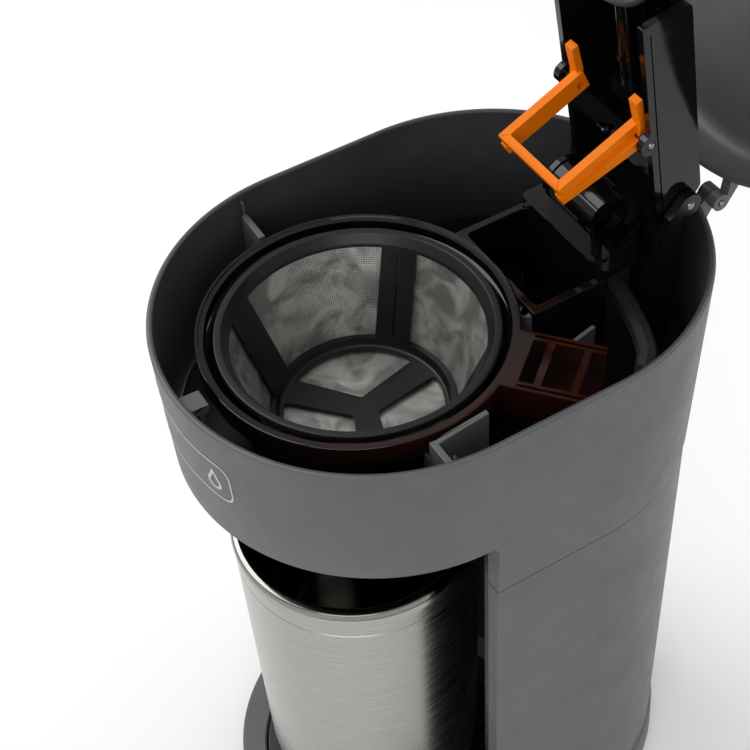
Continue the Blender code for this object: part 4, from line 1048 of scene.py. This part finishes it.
def make_mesh():
    """The woven cup, one closed thin skin with a UV map for its threads."""
    pitch, skin, steps, rows = 0.72, 0.30, 192, 28
    top, foot = FILTER_Z - 3.2, FILTER_FOOT_Z + 0.15
    slope = math.hypot(cone_radius(top) - FILTER_FOOT_RADIUS, top - foot)
    bm = bmesh.new()
    layer = bm.loops.layers.uv.new("weave")

    def sheet(offset):
        rings = []
        for row in range(rows + 1):
            share = row / rows
            radius = FILTER_FOOT_RADIUS + (cone_radius(top) - FILTER_FOOT_RADIUS) * share - offset
            z = foot + (top - foot) * share + offset
            rings.append([bm.verts.new(world(*along_polar(radius, TURN * i / steps), z))
                          for i in range(steps)])
        for row in range(rows):
            for i in range(steps):
                j = (i + 1) % steps
                face = bm.faces.new((rings[row][i], rings[row][j], rings[row + 1][j],
                                     rings[row + 1][i]))
                for loop, (a, b) in zip(face.loops, ((i, row), (i + 1, row), (i + 1, row + 1),
                                                     (i, row + 1))):
                    loop[layer].uv = (TURN * 35.0 * a / steps / pitch, slope * b / rows / pitch)
        return rings

    def floor(ring, z):
        radii = [FILTER_FOOT_RADIUS * share for share in (0.75, 0.5, 0.25)]
        rings = [ring] + [[bm.verts.new(world(*along_polar(r, TURN * i / steps), z))
                           for i in range(steps)] for r in radii]
        for one, two in zip(rings, rings[1:]):
            for i in range(steps):
                bm.faces.new((one[i], one[(i + 1) % steps], two[(i + 1) % steps], two[i]))
        bm.faces.new(rings[-1])

    outer, inner = sheet(0.0), sheet(skin)
    floor(outer[0], foot)
    floor(inner[0], foot + skin)
    for i in range(steps):
        j = (i + 1) % steps
        bm.faces.new((outer[-1][i], outer[-1][j], inner[-1][j], inner[-1][i]))
    for face in bm.faces:
        if all(abs(v.co.z / MM - foot) < 1 for v in face.verts):
            for loop in face.loops:
                place = loop.vert.co / MM
                loop[layer].uv = (place.x / pitch, place.y / pitch)
    piece(to_object(bm, "filter_weave"), weave, "filter", "filter_mesh", smooth=50)


# ---------------------------------------------------------------- mug

def make_mug():
    centre, rim, r = (0, MUG_Y), MUG_RIM_Z, MUG_RADIUS
    base = TRAY_Z
    shell = fillet([(r - 0.9, rim - 4.2, 0.2), (r - 0.5, rim - 6.2, 0.5), (r - 0.6, rim - 12.0, 0),
                    (r - 0.62, rim - 12.2, 0), (r - 1.0, rim - 12.5, 0.1), (r - 0.68, rim - 12.8, 0),
                    (39.6, base + 26, 14), (37.2, base + 5, 3), (36.0, base + 2.6, 0.8),
                    (31, base + 2.2, 0.3), (31, base + 3.2, 0.3), (35.4, base + 3.6, 0.8),
                    (36.2, base + 6, 2), (38.6, base + 27, 14), (r - 1.7, rim - 12, 4),
                    (r - 1.8, rim - 4.2, 0.2)], 0.3, 5)
    piece(turned("mug_body", shell, centre), brushed, "mug", "mug_shell", smooth=40)
    liner = fillet([(r - 2.2, rim, 0.9), (r - 0.5, rim - 0.5, 0.9), (r, rim - 2.2, 1.0),
                    (r - 0.5, rim - 3.7, 0.5), (r - 2.6, rim - 3.7, 0.4), (35.2, base + 28, 12),
                    (33.0, base + 10, 4), (28, base + 6, 2), (0, base + 6, 0), (0, base + 7, 0),
                    (27.6, base + 7, 2), (32.2, base + 11, 4), (34.3, base + 28, 12),
                    (r - 4.3, rim - 2.4, 1.2), (r - 3.6, rim - 0.6, 0.8)], 0.4, 5)
    piece(turned("mug_lining", liner, centre), polished_shaded_steel, "mug", "mug_liner", smooth=45)
    pad = fillet([(0, base + 5.4, 0), (30.6, base + 5.4), (30.6, base + 1.8), (34.4, base + 1.8),
                  (34.4, base + 0.3), (26, base + 0.3), (25.4, base + 0.9), (0, base + 0.9, 0)], 0.4)
    piece(turned("mug_foot", pad, centre), rubber, "mug", "mug_pad")


# ---------------------------------------------------------------- kept CAD nodes

def dress_hidden_nodes():
    """Inner pieces keep their CAD shape and take the same finishes."""
    finishes = {"water_tank": smoke, "neck_seal": rubber, "inlet_hose": rubber,
                "riser_hose": rubber, "heater": aluminium, "thermostat": aluminium,
                "heater_clamp": brushed, "thermal_fuse": brushed, "check_valve": black,
                "switch_body": black}
    for node, finish in finishes.items():
        mesh = frame["nodes"][node].data
        mesh.materials.clear()
        mesh.materials.append(finish["material"])


# ---------------------------------------------------------------- studio

def make_studio():
    bm = bmesh.new()
    bmesh.ops.create_grid(bm, x_segments=2, y_segments=2, size=4.0)
    floor = to_object(bm, "studio_floor")
    surface = Surface("pale_floor", (0.88, 0.88, 0.88), 0.75)
    surface.vary_colour(surface.noise(3), (0.87, 0.87, 0.87), (0.89, 0.89, 0.89))
    floor.data.materials.append(surface.material)
    world_look = bpy.data.worlds.new("studio")
    world_look.use_nodes = True
    background = world_look.node_tree.nodes["Background"]
    background.inputs["Color"].default_value = (1, 1, 1, 1)
    background.inputs["Strength"].default_value = 0.56
    SCENE.world = world_look
    for name, place, size, power in (("key", (-0.75, -0.55, 1.35), 1.1, 13.5),
                                     ("fill", (0.95, -0.8, 0.9), 1.0, 5.5),
                                     ("back", (0.1, 1.25, 1.3), 1.2, 8.5)):
        light = bpy.data.lights.new(name, "AREA")
        light.size = size
        light.energy = power
        lamp = bpy.data.objects.new(name, light)
        lamp.location = place
        aim = Vector((0, 0, 0.22)) - Vector(place)
        lamp.rotation_euler = aim.to_track_quat("-Z", "Y").to_euler()
        SCENE.collection.objects.link(lamp)
    SCENE.view_settings.view_transform = "Standard"


def make_camera():
    azimuth, elevation, roll = (math.radians(a) for a in (62.46, 47.43, -4.40))
    data = bpy.data.cameras.new("camera")
    data.sensor_width = 36.0
    data.lens = 77.96
    data.clip_start = 0.01
    camera = bpy.data.objects.new("camera", data)
    turn = (Matrix.Rotation(azimuth, 4, "Z") @ Matrix.Rotation(math.pi / 2 - elevation, 4, "X")
            @ Matrix.Rotation(roll, 4, "Z"))
    camera.matrix_world = Matrix.Translation(world(299.6, -178.1, 599.6)) @ turn
    SCENE.collection.objects.link(camera)
    SCENE.camera = camera


make_camera()
make_studio()
make_head()
make_tower()
make_bay_lining()
make_deck()
make_supports()
make_arm_rest()
make_seat()
make_catch()
make_mark()
make_base()
make_feet_and_screws()
make_tray()
make_controls()
make_neck()
make_outlet()
make_post()
make_arm()
make_shower()
make_seal()
make_lid()
make_pins()
make_basket()
make_filter()
make_mesh()
make_mug()
dress_hidden_nodes()
